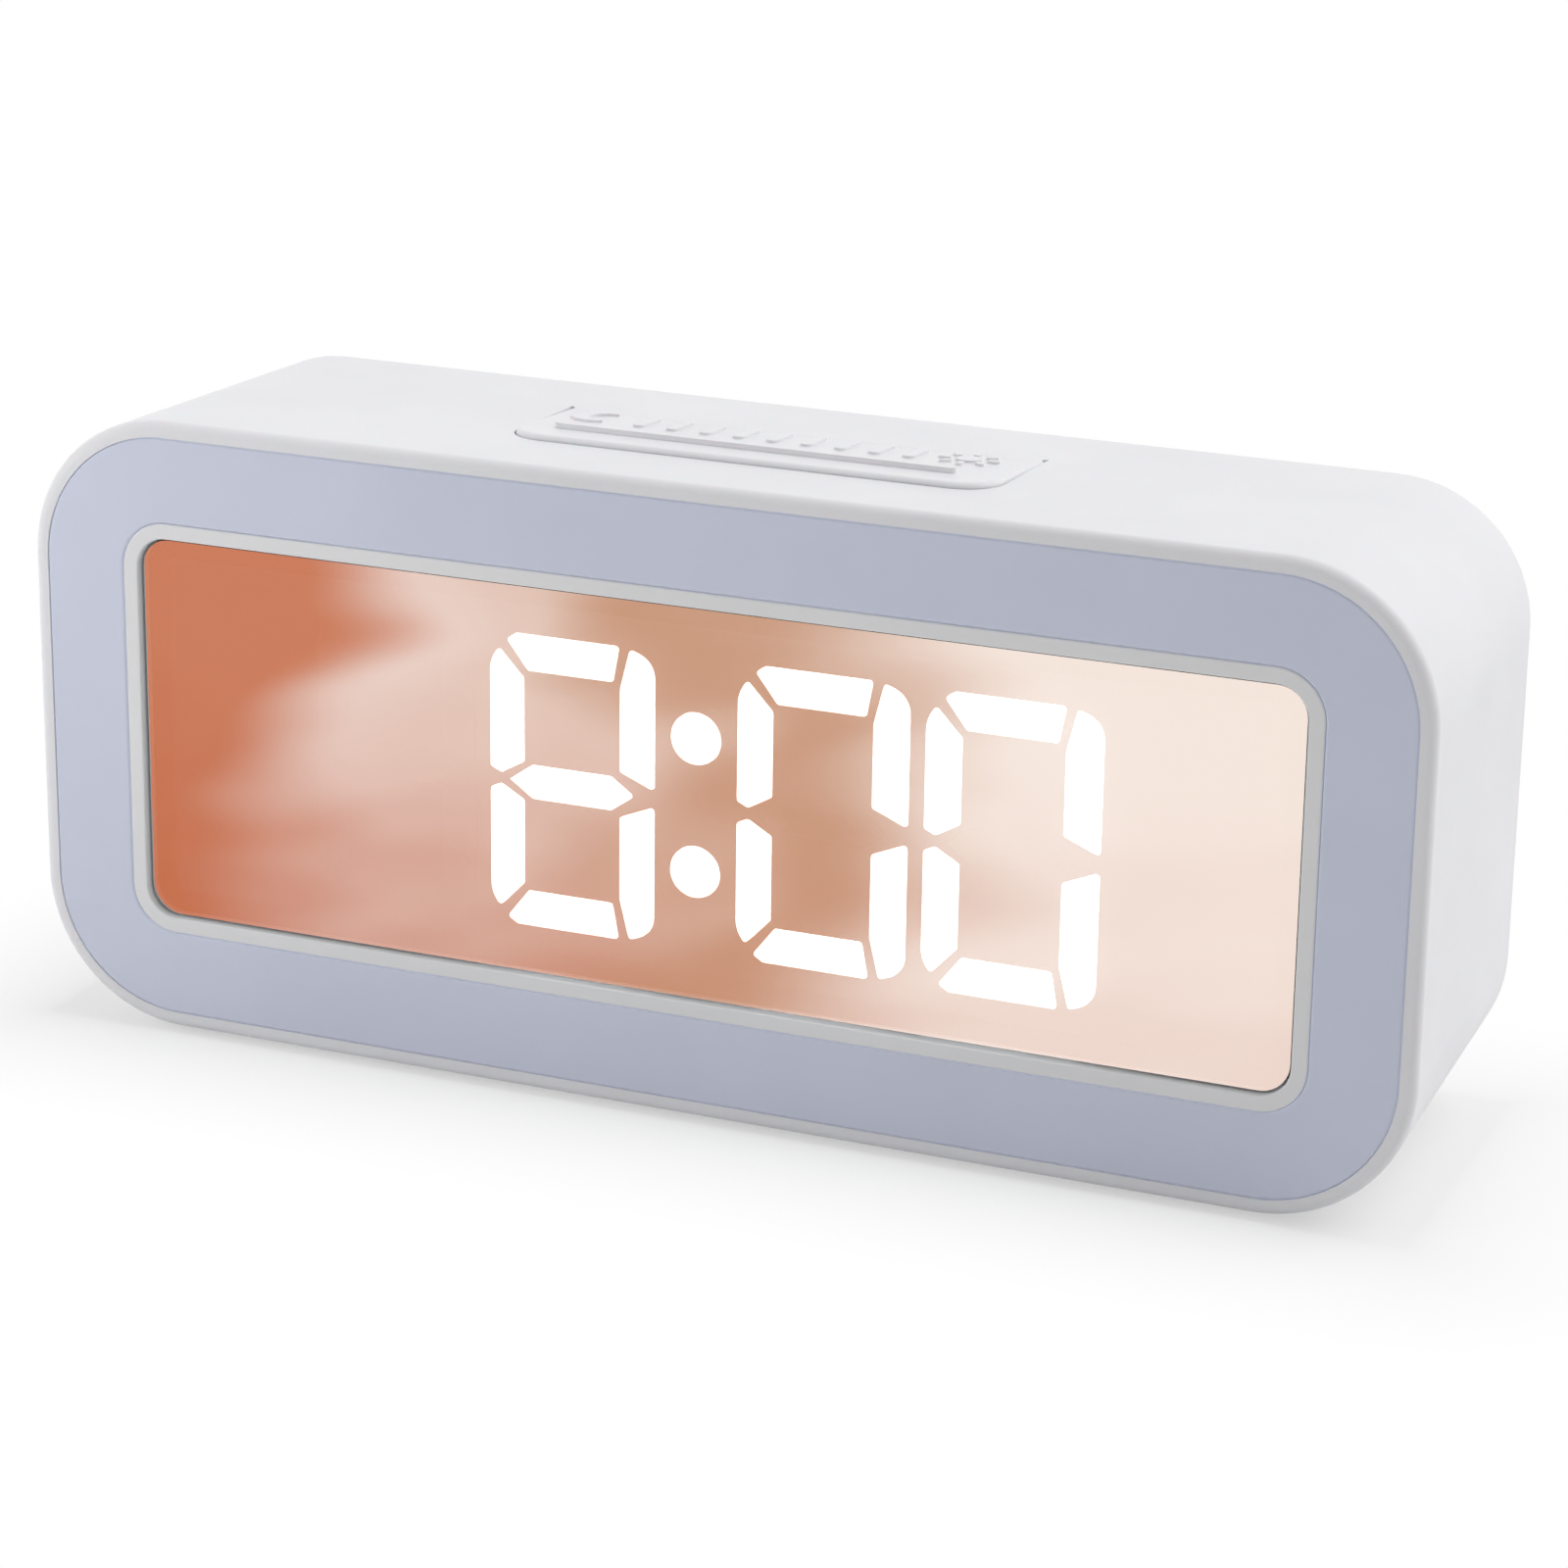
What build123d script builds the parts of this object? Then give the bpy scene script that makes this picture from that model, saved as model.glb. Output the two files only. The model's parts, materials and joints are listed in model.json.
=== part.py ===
from build123d import *
import math
import os

os.makedirs("parts", exist_ok=True)

# All lengths are in millimetres. X runs along the width, the front faces -Y and +Z is up.
# The origin is on the table, under the middle of the clock.
# A depth is measured from the front plane towards the back.

# Case: an open tube that narrows towards the back
case_width = 150.0
case_height = 66.0
case_depth = 40.0
case_corner_radius = 15.7
case_wall = 1.7
draft_angle = 1.87
front_edge_radius = 1.0
rear_edge_radius = 0.25
case_ledge_width = 1.4
case_ledge_thickness = 1.2

# Clearances
fit_clearance = 0.15
ring_clearance = 0.07
seat_clearance = 0.3
hinge_clearance = 0.06
touch_gap = 0.1
cut_overrun = 1.0

# Feet: rubber discs, cut so that the clock stands level on its drafted underside
foot_radius = 4.0
foot_proud = 0.6
foot_recess_depth = 0.6
foot_edge_radius = 0.3
foot_side_inset = 23.0
foot_end_inset = 8.0

# Night-light ring
diffuser_width = 8.9
diffuser_thickness = 2.0
diffuser_edge_radius = 0.25
light_chamber_depth = 6.0
ring_board_thickness = 1.0
ring_led_length = 3.5
ring_led_width = 2.8
ring_led_height = 1.9
ring_led_columns = 8
ring_led_rows = 2
ring_pin_width = 0.64
ring_pin_pitch = 2.54
ring_pin_x = 20.0
ring_pin_slot_margin = 0.8

# Front frame, with the narrow bezel round the mirror
bezel_width = 1.65
bezel_edge_radius = 0.2
frame_wall = 1.2
diffuser_step = 1.0
web_thickness = 1.5
post_radius = 3.0
post_inset = 10.0
post_bore_depth = 14.0

# Mirror window
mirror_recess = 0.8
mirror_thickness = 1.2
mirror_ledge_width = 1.8
mirror_ledge_thickness = 1.3
tape_thickness = 0.2
tape_overlap = 0.6

# Display: four seven-segment digits and a colon
reflector_depth = 8.0
cell_depth = 6.0
cell_clearance = 0.05
segment_thickness = 2.5
digit_width = 18.2
digit_margin = 3.2
digit_pitch = 19.9
colon_space = 27.2
colon_dot_radius = 2.7
colon_dot_spacing = 14.0
display_x = -0.6
display_z = -0.5
tip_round = 0.35
led_chip_width = 1.2
led_chip_height = 0.4

# How much of the shorter edge at a side bar's outer corner its round takes
segment_round_share = 0.65

# Segment outlines, as shares of half the digit's width and half its height
top_bar_shares = ((-0.795, 0.955), (-0.67, 1.0), (0.571, 1.0), (0.495, 0.757), (-0.533, 0.757))
left_bar_shares = (
    (-1.0, 0.8),
    (-0.89, 0.89),
    (-0.588, 0.703),
    (-0.588, 0.132),
    (-0.865, 0.039),
    (-1.0, 0.074),
)
right_bar_shares = ((1.0, 0.93), (1.0, 0.055), (0.583, 0.157), (0.583, 0.716), (0.7, 0.99))
middle_bar_shares = (
    (-0.758, 0.0),
    (-0.478, 0.115),
    (0.478, 0.115),
    (0.758, 0.0),
    (0.478, -0.115),
    (-0.478, -0.115),
)

# Where the light chip of each segment sits, in the same shares
chip_shares = {
    "a": (0.0, 0.88),
    "b": (0.79, 0.46),
    "c": (0.79, -0.46),
    "d": (0.0, -0.88),
    "e": (-0.79, -0.43),
    "f": (-0.79, 0.43),
    "g": (0.0, 0.0),
}

# Circuit boards and what they carry
board_thickness = 1.6
board_corner_radius = 1.5
main_board_side_margin = 16.0
main_board_end_margin = 5.5
main_board_screw_inset = 5.0
main_board_screw_drop = 2.0
chip_width = 10.3
chip_height = 7.5
chip_thickness = 2.3
chip_x = -20.0
chip_z = -6.0
chip_lead_count = 10
chip_lead_pitch = 1.0
chip_lead_width = 0.4
chip_lead_length = 1.2
chip_lead_thickness = 0.25
crystal_radius = 1.0
crystal_length = 6.0
crystal_x = -36.0
crystal_z = -6.0
capacitor_radius = 3.15
capacitor_length = 7.0
capacitor_edge_radius = 0.5
capacitor_x = 30.0
capacitor_z = 8.0

# Snooze and light key: a tongue in the top of the case that bends at its root
key_width = 52.4
key_front_depth = 11.2
key_root_depth = 27.9
key_corner_radius = 4.2
key_edge_radius = 0.55
key_proud = 0.6
key_hinge_radius = 2.0
key_slot_width = 0.2
slot_relief_radius = 0.24
key_rib_length = 43.6
key_rib_width = 1.1
key_rib_height = 0.55
key_rib_depth = 16.1
key_marks_x = -0.75
mark_height = 0.25
mark_depth = 23.2
mark_radius = 2.6
mark_spacing = 41.0
moon_cut_share = 0.8
moon_shift_share = 0.55
sun_core_share = 0.5
sun_ray_count = 8
sun_ray_width = 0.7
grip_bar_count = 9
grip_bar_pitch = 3.7
grip_bar_length = 5.0
grip_bar_width = 1.3
key_post_radius = 1.5

# Snooze switch, on the upper edge of the main board
snooze_switch_width = 6.0
snooze_switch_height = 3.5
snooze_switch_depth = 4.3
snooze_switch_drop = 0.4
snooze_plunger_radius = 1.3
snooze_plunger_length = 3.2
snooze_plunger_proud = 1.6
snooze_travel = 0.6

# Rear cover
cover_recess = 1.2
cover_thickness = 2.0
standoff_length = 5.5
standoff_radius = 2.2
sound_hole_radius = 0.8
sound_hole_count = 8
sound_ring_radius = 4.0

# Battery bay and its door
cell_radius = 5.25
cell_length = 43.7
cell_nub_radius = 1.9
cell_nub_length = 0.8
cell_edge_radius = 0.6
cell_count = 3
cell_gap = 0.7
bay_x = -30.0
bay_wall = 1.3
bay_side_margin = 0.8
contact_size = 8.6
contact_thickness = 0.4
plus_dimple_radius = 1.2
spring_reach = 4.2
spring_width = 5.0
door_thickness = 1.8
door_lip = 2.0
door_seat_thickness = 1.4
door_seat_margin = 1.5
door_pin_radius = 0.5
door_pin_length = 1.0
door_edge_radius = 0.4
door_scoop_radius = 9.0
door_scoop_depth = 0.7

# Rear buttons, their board and their switches
button_names = ("mode", "set", "up", "down")
button_pitch = 12.0
button_row_x = 32.0
button_row_z = 10.0
button_radius = 3.25
button_proud = 1.0
button_flange_width = 0.7
button_flange_thickness = 0.7
button_edge_radius = 0.4
button_hole_clearance = 0.25
button_mark_radius = 1.5
button_mark_width = 0.45
button_mark_depth = 0.25
button_bar_count = 3
button_bar_pitch = 1.0
button_board_width = 56.0
button_board_height = 40.0
button_board_x = 32.0
button_screw_inset = 4.0
button_screw_drop = 3.5
switch_size = 6.0
switch_height = 3.5
switch_bore_depth = 1.6
switch_plunger_radius = 1.75
switch_plunger_proud = 1.0
switch_plunger_sunk = 0.7
switch_corner_radius = 0.5

# Power inlet
inlet_x = 18.0
inlet_z = -11.0
inlet_width = 7.5
inlet_height = 2.6
inlet_corner_radius = 0.7
inlet_shell = 0.3
inlet_base = 1.5
inlet_inset = 0.5
inlet_tongue_width = 3.7
inlet_tongue_height = 0.6
inlet_tongue_inset = 1.0

# Alarm buzzer
buzzer_x = 43.0
buzzer_z = -8.5
buzzer_radius = 6.5
buzzer_height = 4.5
buzzer_port_radius = 1.0
buzzer_port_depth = 1.5

# Wiring
ribbon_x = 30.0
ribbon_width = 10.0
ribbon_thickness = 0.6
ribbon_main_z = -8.0
ribbon_button_z = 2.0
ribbon_bend_share = 0.55
connector_width = 12.5
connector_height = 4.0
connector_depth = 3.5
lead_radius = 0.65
lead_spacing = 11.0
lead_z = -3.0
lead_bend_radius = 2.0
lead_edge_margin = 4.8

# Screws
screw_radius = 1.3
screw_head_radius = 2.4
screw_head_height = 1.4
screw_clearance = 0.1
case_screw_length = 12.0
case_screw_sink = 0.9
board_screw_radius = 0.9
board_screw_head_radius = 1.8
board_screw_head_height = 1.2
board_screw_length = 3.0
screw_slot_width = 0.6
screw_slot_depth_share = 0.5

# Places that follow from the sizes
slope = math.tan(math.radians(draft_angle))
front_y = -case_depth / 2
mid_z = foot_proud + case_height / 2

diffuser_inset = case_wall + ring_clearance
diffuser_inner_inset = diffuser_inset + diffuser_width
bezel_inset = diffuser_inner_inset + ring_clearance
opening_inset = bezel_inset + bezel_width
mirror_inset = opening_inset + fit_clearance
ledge_inset = opening_inset + mirror_ledge_width
reflector_inset = ledge_inset + fit_clearance

digit_height = case_height - 2 * reflector_inset - 2 * digit_margin

mirror_back = mirror_recess + mirror_thickness
tape_back = mirror_back + tape_thickness
mirror_ledge_back = tape_back + mirror_ledge_thickness
reflector_front = tape_back + touch_gap
main_board_front = reflector_front + reflector_depth
main_board_back = main_board_front + board_thickness
main_board_width = case_width - 2 * main_board_side_margin
main_board_height = case_height - 2 * main_board_end_margin
main_board_screw_spacing = main_board_width - 2 * main_board_screw_inset
main_board_screw_height = main_board_height - 2 * main_board_screw_drop
web_front = diffuser_thickness + light_chamber_depth
web_back = web_front + web_thickness
frame_inset = case_wall + fit_clearance + web_back * slope
ring_board_front = web_front - ring_board_thickness
cover_back = case_depth - cover_recess
cover_front = cover_back - cover_thickness
cover_inset = case_wall + fit_clearance
button_board_back = cover_front - standoff_length
button_board_front = button_board_back - board_thickness
button_screw_spacing = button_board_width - 2 * button_screw_inset
button_screw_height = button_board_height - 2 * button_screw_drop
switch_top = button_board_back + switch_height
button_flange_front = switch_top + switch_plunger_proud

foot_spacing = case_width - 2 * foot_side_inset
foot_depths = (foot_end_inset, case_depth - foot_end_inset)
post_spacing_x = case_width - 2 * post_inset
post_spacing_z = case_height - 2 * post_inset

bay_width = cell_length + cell_nub_length + spring_reach + 2 * contact_thickness + 2 * bay_side_margin
bay_height = cell_count * (2 * cell_radius + cell_gap) + cell_gap
bay_depth = 2 * cell_radius + 2 * seat_clearance
door_front = cover_back - door_thickness - touch_gap
bay_floor = door_front - bay_depth
door_width = bay_width + 2 * door_lip
door_height = bay_height + 2 * door_lip
door_axis_depth = cover_back - door_thickness / 2
door_axis_z = door_height / 2 - door_thickness / 2

key_axis_depth = key_root_depth - key_hinge_radius
snooze_switch_top = mid_z + main_board_height / 2 - snooze_switch_drop
plunger_top = snooze_switch_top + snooze_plunger_proud
key_post_depth = main_board_back + snooze_switch_depth / 2


def depth_y(depth):
    """World Y of a depth behind the front plane."""
    return front_y + depth


def top_z(depth):
    """Height of the outer top surface of the case at a depth."""
    return mid_z + case_height / 2 - depth * slope


def bottom_z(depth):
    """Height of the outer underside of the case at a depth."""
    return mid_z - case_height / 2 + depth * slope


def face_plane(depth):
    """Plane across the case, seen from the front: X to the right, Z up from mid height."""
    return Plane(origin=(0, depth_y(depth), mid_z), x_dir=(1, 0, 0), z_dir=(0, -1, 0))


def outline(inset, depth=0):
    """Width, height and corner radius of the case's outline at a depth, moved in by an inset."""
    shrink = inset + depth * slope
    return case_width - 2 * shrink, case_height - 2 * shrink, case_corner_radius - shrink


def ring(outer_inset, inner_inset):
    """A band between two insets of the front outline, in the sketch that is open."""
    RectangleRounded(*outline(outer_inset))
    RectangleRounded(*outline(inner_inset), mode=Mode.SUBTRACT)


def save(piece, name):
    """Labels a finished piece and writes it."""
    piece.label = name
    export_step(piece, f"parts/{name}.step")


def segment_points(name):
    """Corner points of one segment, around the digit's middle."""
    shares = {
        "a": top_bar_shares,
        "b": right_bar_shares,
        "c": right_bar_shares,
        "d": top_bar_shares,
        "e": left_bar_shares,
        "f": left_bar_shares,
        "g": middle_bar_shares,
    }[name]
    side = -1 if name in "cde" else 1
    return [(x * digit_width / 2, z * side * digit_height / 2) for x, z in shares]


def corner_round(points):
    """Radius of the round at a segment's first point, from the share of the shorter edge that it takes."""
    corner = Vector(*points[0])
    edges = (Vector(*points[1]) - corner, Vector(*points[-1]) - corner)
    angle = math.radians(edges[0].get_angle(edges[1]))
    shorter = min(edge.length for edge in edges)
    return segment_round_share * shorter * math.tan(angle / 2)


def segment_sketch(name):
    """One segment as a flat shape, with a large round at its outer corner and small ones elsewhere."""
    points = segment_points(name)
    with BuildSketch() as segment:
        Polygon(*points, align=None)
        outer = segment.vertices().sort_by_distance((*points[0], 0))[0]
        others = [v for v in segment.vertices() if v != outer]
        fillet(others, tip_round)
        if name != "g":
            corner = segment.vertices().sort_by_distance((*points[0], 0))[0]
            fillet(corner, tip_round if name in "ad" else corner_round(points))
    return segment.sketch


def digit_sketch(names):
    """The named segments of one digit."""
    with BuildSketch() as digit:
        for name in names:
            add(segment_sketch(name))
    return digit.sketch


def colon_sketch():
    """The two round dots between hours and minutes."""
    with BuildSketch() as colon:
        with GridLocations(0, colon_dot_spacing, 1, 2):
            Circle(colon_dot_radius)
    return colon.sketch


# Where the middle of each digit sits behind the window
colon_place = (display_x, display_z)
digit_places = {
    "hour_tens": (display_x - colon_space / 2 - digit_pitch, display_z),
    "hour_units": (display_x - colon_space / 2, display_z),
    "minute_tens": (display_x + colon_space / 2, display_z),
    "minute_units": (display_x + colon_space / 2 + digit_pitch, display_z),
}
lit_segments = {"hour_units": "abcdefg", "minute_tens": "abcdef", "minute_units": "abcdef"}
dark_segments = {"hour_tens": "abcdefg", "minute_tens": "g", "minute_units": "g"}

# Outer case: drafted tube with a rounded front lip and two inner ledges
with BuildPart() as outer_case:
    for depth in (0, case_depth):
        with BuildSketch(face_plane(depth)):
            RectangleRounded(*outline(0, depth))
    loft(ruled=True)
    fillet(outer_case.faces().sort_by(Axis.Y)[0].edges(), front_edge_radius)
    fillet(outer_case.faces().sort_by(Axis.Y)[-1].edges(), rear_edge_radius)
    for depth in (-cut_overrun, case_depth + cut_overrun):
        with BuildSketch(face_plane(depth)):
            RectangleRounded(*outline(case_wall, depth))
    loft(ruled=True, mode=Mode.SUBTRACT)
    for depth in (web_back, cover_front - case_ledge_thickness):
        with BuildSketch(face_plane(depth)):
            RectangleRounded(*outline(case_wall / 2, depth))
            RectangleRounded(*outline(case_wall + case_ledge_width, depth), mode=Mode.SUBTRACT)
        extrude(amount=-case_ledge_thickness)
    # The opening of the key, with its round seat at the root
    opening_front = depth_y(key_front_depth - key_slot_width)
    opening_rear = depth_y(key_axis_depth)
    key_axis_z = top_z(key_axis_depth) - case_wall / 2
    opening_width = key_width + 2 * key_slot_width
    with BuildSketch(Plane.XY.offset(key_axis_z)) as opening:
        with Locations((0, (opening_front + opening_rear) / 2)):
            Rectangle(opening_width, opening_rear - opening_front)
        fillet(opening.vertices().group_by(Axis.Y)[0], key_corner_radius + key_slot_width)
    extrude(amount=2 * case_wall, both=True, mode=Mode.SUBTRACT)
    with BuildSketch(Plane.YZ):
        with Locations((opening_rear, key_axis_z)):
            Circle(key_hinge_radius + hinge_clearance)
    extrude(amount=opening_width / 2, both=True, mode=Mode.SUBTRACT)
    with BuildSketch(Plane.XY.offset(key_axis_z)):
        with Locations((0, depth_y(key_root_depth))):
            with GridLocations(key_width + key_slot_width, 0, 2, 1):
                Circle(slot_relief_radius)
    extrude(amount=2 * case_wall, both=True, mode=Mode.SUBTRACT)
    # Recesses for the feet
    for depth in foot_depths:
        with BuildSketch(Plane.XY.offset(bottom_z(depth) + foot_recess_depth)):
            with Locations((0, depth_y(depth))):
                with GridLocations(foot_spacing, 0, 2, 1):
                    Circle(foot_radius + fit_clearance)
        extrude(amount=-(foot_recess_depth + cut_overrun), mode=Mode.SUBTRACT)
save(outer_case.part, "outer_case")

# Rubber feet
with BuildPart() as rubber_feet:
    for depth in foot_depths:
        with BuildSketch(Plane.XY):
            with Locations((0, depth_y(depth))):
                with GridLocations(foot_spacing, 0, 2, 1):
                    Circle(foot_radius)
        extrude(amount=bottom_z(depth) + foot_recess_depth)
    fillet(rubber_feet.edges().group_by(Axis.Z)[0], foot_edge_radius)
save(rubber_feet.part, "rubber_feet")

# Night-light diffuser ring
with BuildPart() as light_diffuser:
    with BuildSketch(face_plane(0)):
        ring(diffuser_inset, diffuser_inner_inset)
    extrude(amount=-diffuser_thickness)
    fillet(light_diffuser.faces().sort_by(Axis.Y)[0].edges(), diffuser_edge_radius)
save(light_diffuser.part, "light_diffuser")

# Front frame: bezel, channel for the night light and posts for the case screws
with BuildPart() as front_frame:
    with BuildSketch(face_plane(0)):
        ring(bezel_inset, opening_inset)
    extrude(amount=-web_back)
    fillet(front_frame.faces().sort_by(Axis.Y)[0].edges(), bezel_edge_radius)
    with BuildSketch(face_plane(tape_back)):
        ring(bezel_inset + bezel_width / 2, ledge_inset)
    extrude(amount=tape_back - mirror_ledge_back)
    with BuildSketch(face_plane(diffuser_thickness)):
        ring(bezel_inset - diffuser_step, bezel_inset + bezel_width / 2)
    extrude(amount=diffuser_thickness - web_back)
    with BuildSketch(face_plane(diffuser_thickness)):
        ring(frame_inset, frame_inset + frame_wall)
    extrude(amount=diffuser_thickness - web_back)
    with BuildSketch(face_plane(web_front)):
        ring(frame_inset, bezel_inset + bezel_width / 2)
    extrude(amount=web_front - web_back)
    with BuildSketch(face_plane(web_back)):
        with GridLocations(post_spacing_x, post_spacing_z, 2, 2):
            Circle(post_radius)
    extrude(amount=web_back - cover_front)
    with BuildSketch(face_plane(web_back)):
        with GridLocations(main_board_screw_spacing, main_board_screw_height, 2, 2):
            Circle(standoff_radius)
    extrude(amount=web_back - main_board_front)
    with BuildSketch(face_plane(cover_front)):
        with GridLocations(post_spacing_x, post_spacing_z, 2, 2):
            Circle(screw_radius + screw_clearance)
    extrude(amount=post_bore_depth, mode=Mode.SUBTRACT)
    with BuildSketch(face_plane(main_board_front)):
        with GridLocations(main_board_screw_spacing, main_board_screw_height, 2, 2):
            Circle(board_screw_radius + screw_clearance)
    extrude(amount=main_board_front - web_front - frame_wall / 2, mode=Mode.SUBTRACT)
    ring_pin_z = case_height / 2 - (frame_inset + frame_wall + bezel_inset - diffuser_step) / 2
    with BuildSketch(face_plane(web_front)):
        with Locations((ring_pin_x, ring_pin_z)):
            slot_length = ring_pin_pitch + ring_pin_width + 2 * ring_pin_slot_margin
            Rectangle(slot_length, ring_pin_width + 2 * ring_pin_slot_margin)
    extrude(amount=web_front - web_back, mode=Mode.SUBTRACT)
save(front_frame.part, "front_frame")

# Night-light board with its lamps
ring_board_outer = frame_inset + frame_wall + fit_clearance
ring_board_inner = bezel_inset - diffuser_step - fit_clearance
ring_middle = (ring_board_outer + ring_board_inner) / 2
ring_led_pitch = (case_width - 2 * case_corner_radius) / ring_led_columns
ring_led_row_pitch = (case_height - 2 * case_corner_radius) / ring_led_rows
with BuildPart() as ring_light_board:
    with BuildSketch(face_plane(ring_board_front)):
        ring(ring_board_outer, ring_board_inner)
    extrude(amount=-ring_board_thickness)
save(ring_light_board.part, "ring_light_board")

with BuildPart() as ring_light_leds:
    with BuildSketch(face_plane(ring_board_front)):
        with GridLocations(ring_led_pitch, case_height - 2 * ring_middle, ring_led_columns, 2):
            Rectangle(ring_led_length, ring_led_width)
        with GridLocations(case_width - 2 * ring_middle, ring_led_row_pitch, 2, ring_led_rows):
            Rectangle(ring_led_width, ring_led_length)
    extrude(amount=ring_led_height)
save(ring_light_leds.part, "ring_light_leds")

with BuildPart() as ring_light_pins:
    with BuildSketch(face_plane(web_front)):
        with Locations((ring_pin_x, ring_pin_z)):
            with GridLocations(ring_pin_pitch, 0, 2, 1):
                Rectangle(ring_pin_width, ring_pin_width)
    extrude(amount=web_front - main_board_front)
save(ring_light_pins.part, "ring_light_pins")

# Mirror window and the tape that holds it
with BuildPart() as mirror_lens:
    with BuildSketch(face_plane(mirror_recess)):
        RectangleRounded(*outline(mirror_inset))
    extrude(amount=-mirror_thickness)
save(mirror_lens.part, "mirror_lens")

with BuildPart() as mirror_tape:
    with BuildSketch(face_plane(mirror_back)):
        ring(mirror_inset, ledge_inset + tape_overlap)
    extrude(amount=-tape_thickness)
save(mirror_tape.part, "mirror_tape")

# Display block with a cell for each segment
with BuildPart() as display_reflector:
    with BuildSketch(face_plane(reflector_front)):
        RectangleRounded(*outline(reflector_inset))
    extrude(amount=-reflector_depth)
    with BuildSketch(face_plane(reflector_front)):
        for place in digit_places.values():
            with Locations(place):
                add(digit_sketch("abcdefg"))
        with Locations(colon_place):
            add(colon_sketch())
        offset(amount=cell_clearance, kind=Kind.INTERSECTION, mode=Mode.REPLACE)
    extrude(amount=-cell_depth, mode=Mode.SUBTRACT)
save(display_reflector.part, "display_reflector")

# Segment windows that are lit at eight o'clock, digit by digit
for digit, names in lit_segments.items():
    with BuildPart() as segments:
        with BuildSketch(face_plane(reflector_front)):
            with Locations(digit_places[digit]):
                add(digit_sketch(names))
        extrude(amount=-segment_thickness)
    save(segments.part, f"{digit}_segments")

with BuildPart() as colon_dots:
    with BuildSketch(face_plane(reflector_front)):
        with Locations(colon_place):
            add(colon_sketch())
    extrude(amount=-segment_thickness)
save(colon_dots.part, "colon_dots")

# Segment windows that are dark at eight o'clock
with BuildPart() as unlit_segments:
    with BuildSketch(face_plane(reflector_front)):
        for digit, names in dark_segments.items():
            with Locations(digit_places[digit]):
                add(digit_sketch(names))
    extrude(amount=-segment_thickness)
save(unlit_segments.part, "unlit_segments")

# Light chips at the bottom of the cells
with BuildPart() as display_led_chips:
    with BuildSketch(face_plane(reflector_front + cell_depth)):
        for place_x, place_z in digit_places.values():
            for x_share, z_share in chip_shares.values():
                led_x = place_x + x_share * digit_width / 2
                led_z = place_z + z_share * digit_height / 2
                with Locations((led_x, led_z)):
                    Rectangle(led_chip_width, led_chip_width)
        with Locations(colon_place):
            with GridLocations(0, colon_dot_spacing, 1, 2):
                Rectangle(led_chip_width, led_chip_width)
    extrude(amount=led_chip_height)
save(display_led_chips.part, "display_led_chips")

# Main board and its components
with BuildPart() as main_board:
    with BuildSketch(face_plane(main_board_front)):
        RectangleRounded(main_board_width, main_board_height, board_corner_radius)
        with GridLocations(main_board_screw_spacing, main_board_screw_height, 2, 2):
            Circle(board_screw_radius + screw_clearance, mode=Mode.SUBTRACT)
    extrude(amount=-board_thickness)
save(main_board.part, "main_board")

with BuildPart() as clock_chip:
    with BuildSketch(face_plane(main_board_back)):
        with Locations((chip_x, chip_z)):
            Rectangle(chip_width, chip_height)
    extrude(amount=-chip_thickness)
    with BuildSketch(face_plane(main_board_back)):
        with Locations((chip_x, chip_z)):
            with GridLocations(chip_lead_pitch, chip_height + chip_lead_length, chip_lead_count, 2):
                Rectangle(chip_lead_width, chip_lead_length)
    extrude(amount=-chip_lead_thickness)
save(clock_chip.part, "clock_chip")

crystal_depth = main_board_back + crystal_radius + touch_gap
with BuildPart() as clock_crystal:
    with BuildSketch(Plane.YZ.offset(crystal_x - crystal_length / 2)):
        with Locations((depth_y(crystal_depth), mid_z + crystal_z)):
            Circle(crystal_radius)
    extrude(amount=crystal_length)
save(clock_crystal.part, "clock_crystal")

with BuildPart() as filter_capacitor:
    with BuildSketch(face_plane(main_board_back)):
        with Locations((capacitor_x, capacitor_z)):
            Circle(capacitor_radius)
    extrude(amount=-capacitor_length)
    fillet(filter_capacitor.edges().sort_by(Axis.Y)[-1], capacitor_edge_radius)
save(filter_capacitor.part, "filter_capacitor")

# Snooze switch under the key
snooze_bore_radius = snooze_plunger_radius + fit_clearance
with BuildPart() as snooze_switch_body:
    with BuildSketch(face_plane(main_board_back)):
        with Locations((0, snooze_switch_top - mid_z - snooze_switch_height / 2)):
            Rectangle(snooze_switch_width, snooze_switch_height)
    extrude(amount=-snooze_switch_depth)
    with BuildSketch(Plane.XY.offset(snooze_switch_top)):
        with Locations((0, depth_y(key_post_depth))):
            Circle(snooze_bore_radius)
    bore_depth = snooze_plunger_length - snooze_plunger_proud + snooze_travel + touch_gap
    extrude(amount=-bore_depth, mode=Mode.SUBTRACT)
save(snooze_switch_body.part, "snooze_switch_body")

with BuildPart() as snooze_switch_plunger:
    with BuildSketch(Plane.XY.offset(plunger_top)):
        with Locations((0, depth_y(key_post_depth))):
            Circle(snooze_plunger_radius)
    extrude(amount=-snooze_plunger_length)
save(snooze_switch_plunger.part, "snooze_switch_plunger")

# Snooze and light key
key_axis_y = depth_y(key_axis_depth)
root_rise = case_wall / 2 - key_hinge_radius * slope
root_fall = case_wall / 2 + key_hinge_radius * slope
root_top = (key_axis_y + math.sqrt(key_hinge_radius**2 - root_rise**2), key_axis_z + root_rise)
root_bottom = (key_axis_y + math.sqrt(key_hinge_radius**2 - root_fall**2), key_axis_z - root_fall)
front_top = (depth_y(key_front_depth), top_z(key_front_depth) + key_proud)
front_bottom = (depth_y(key_front_depth), top_z(key_front_depth) - case_wall)
key_tilt = math.degrees(math.atan2(front_top[1] - root_top[1], root_top[0] - front_top[0]))


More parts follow.
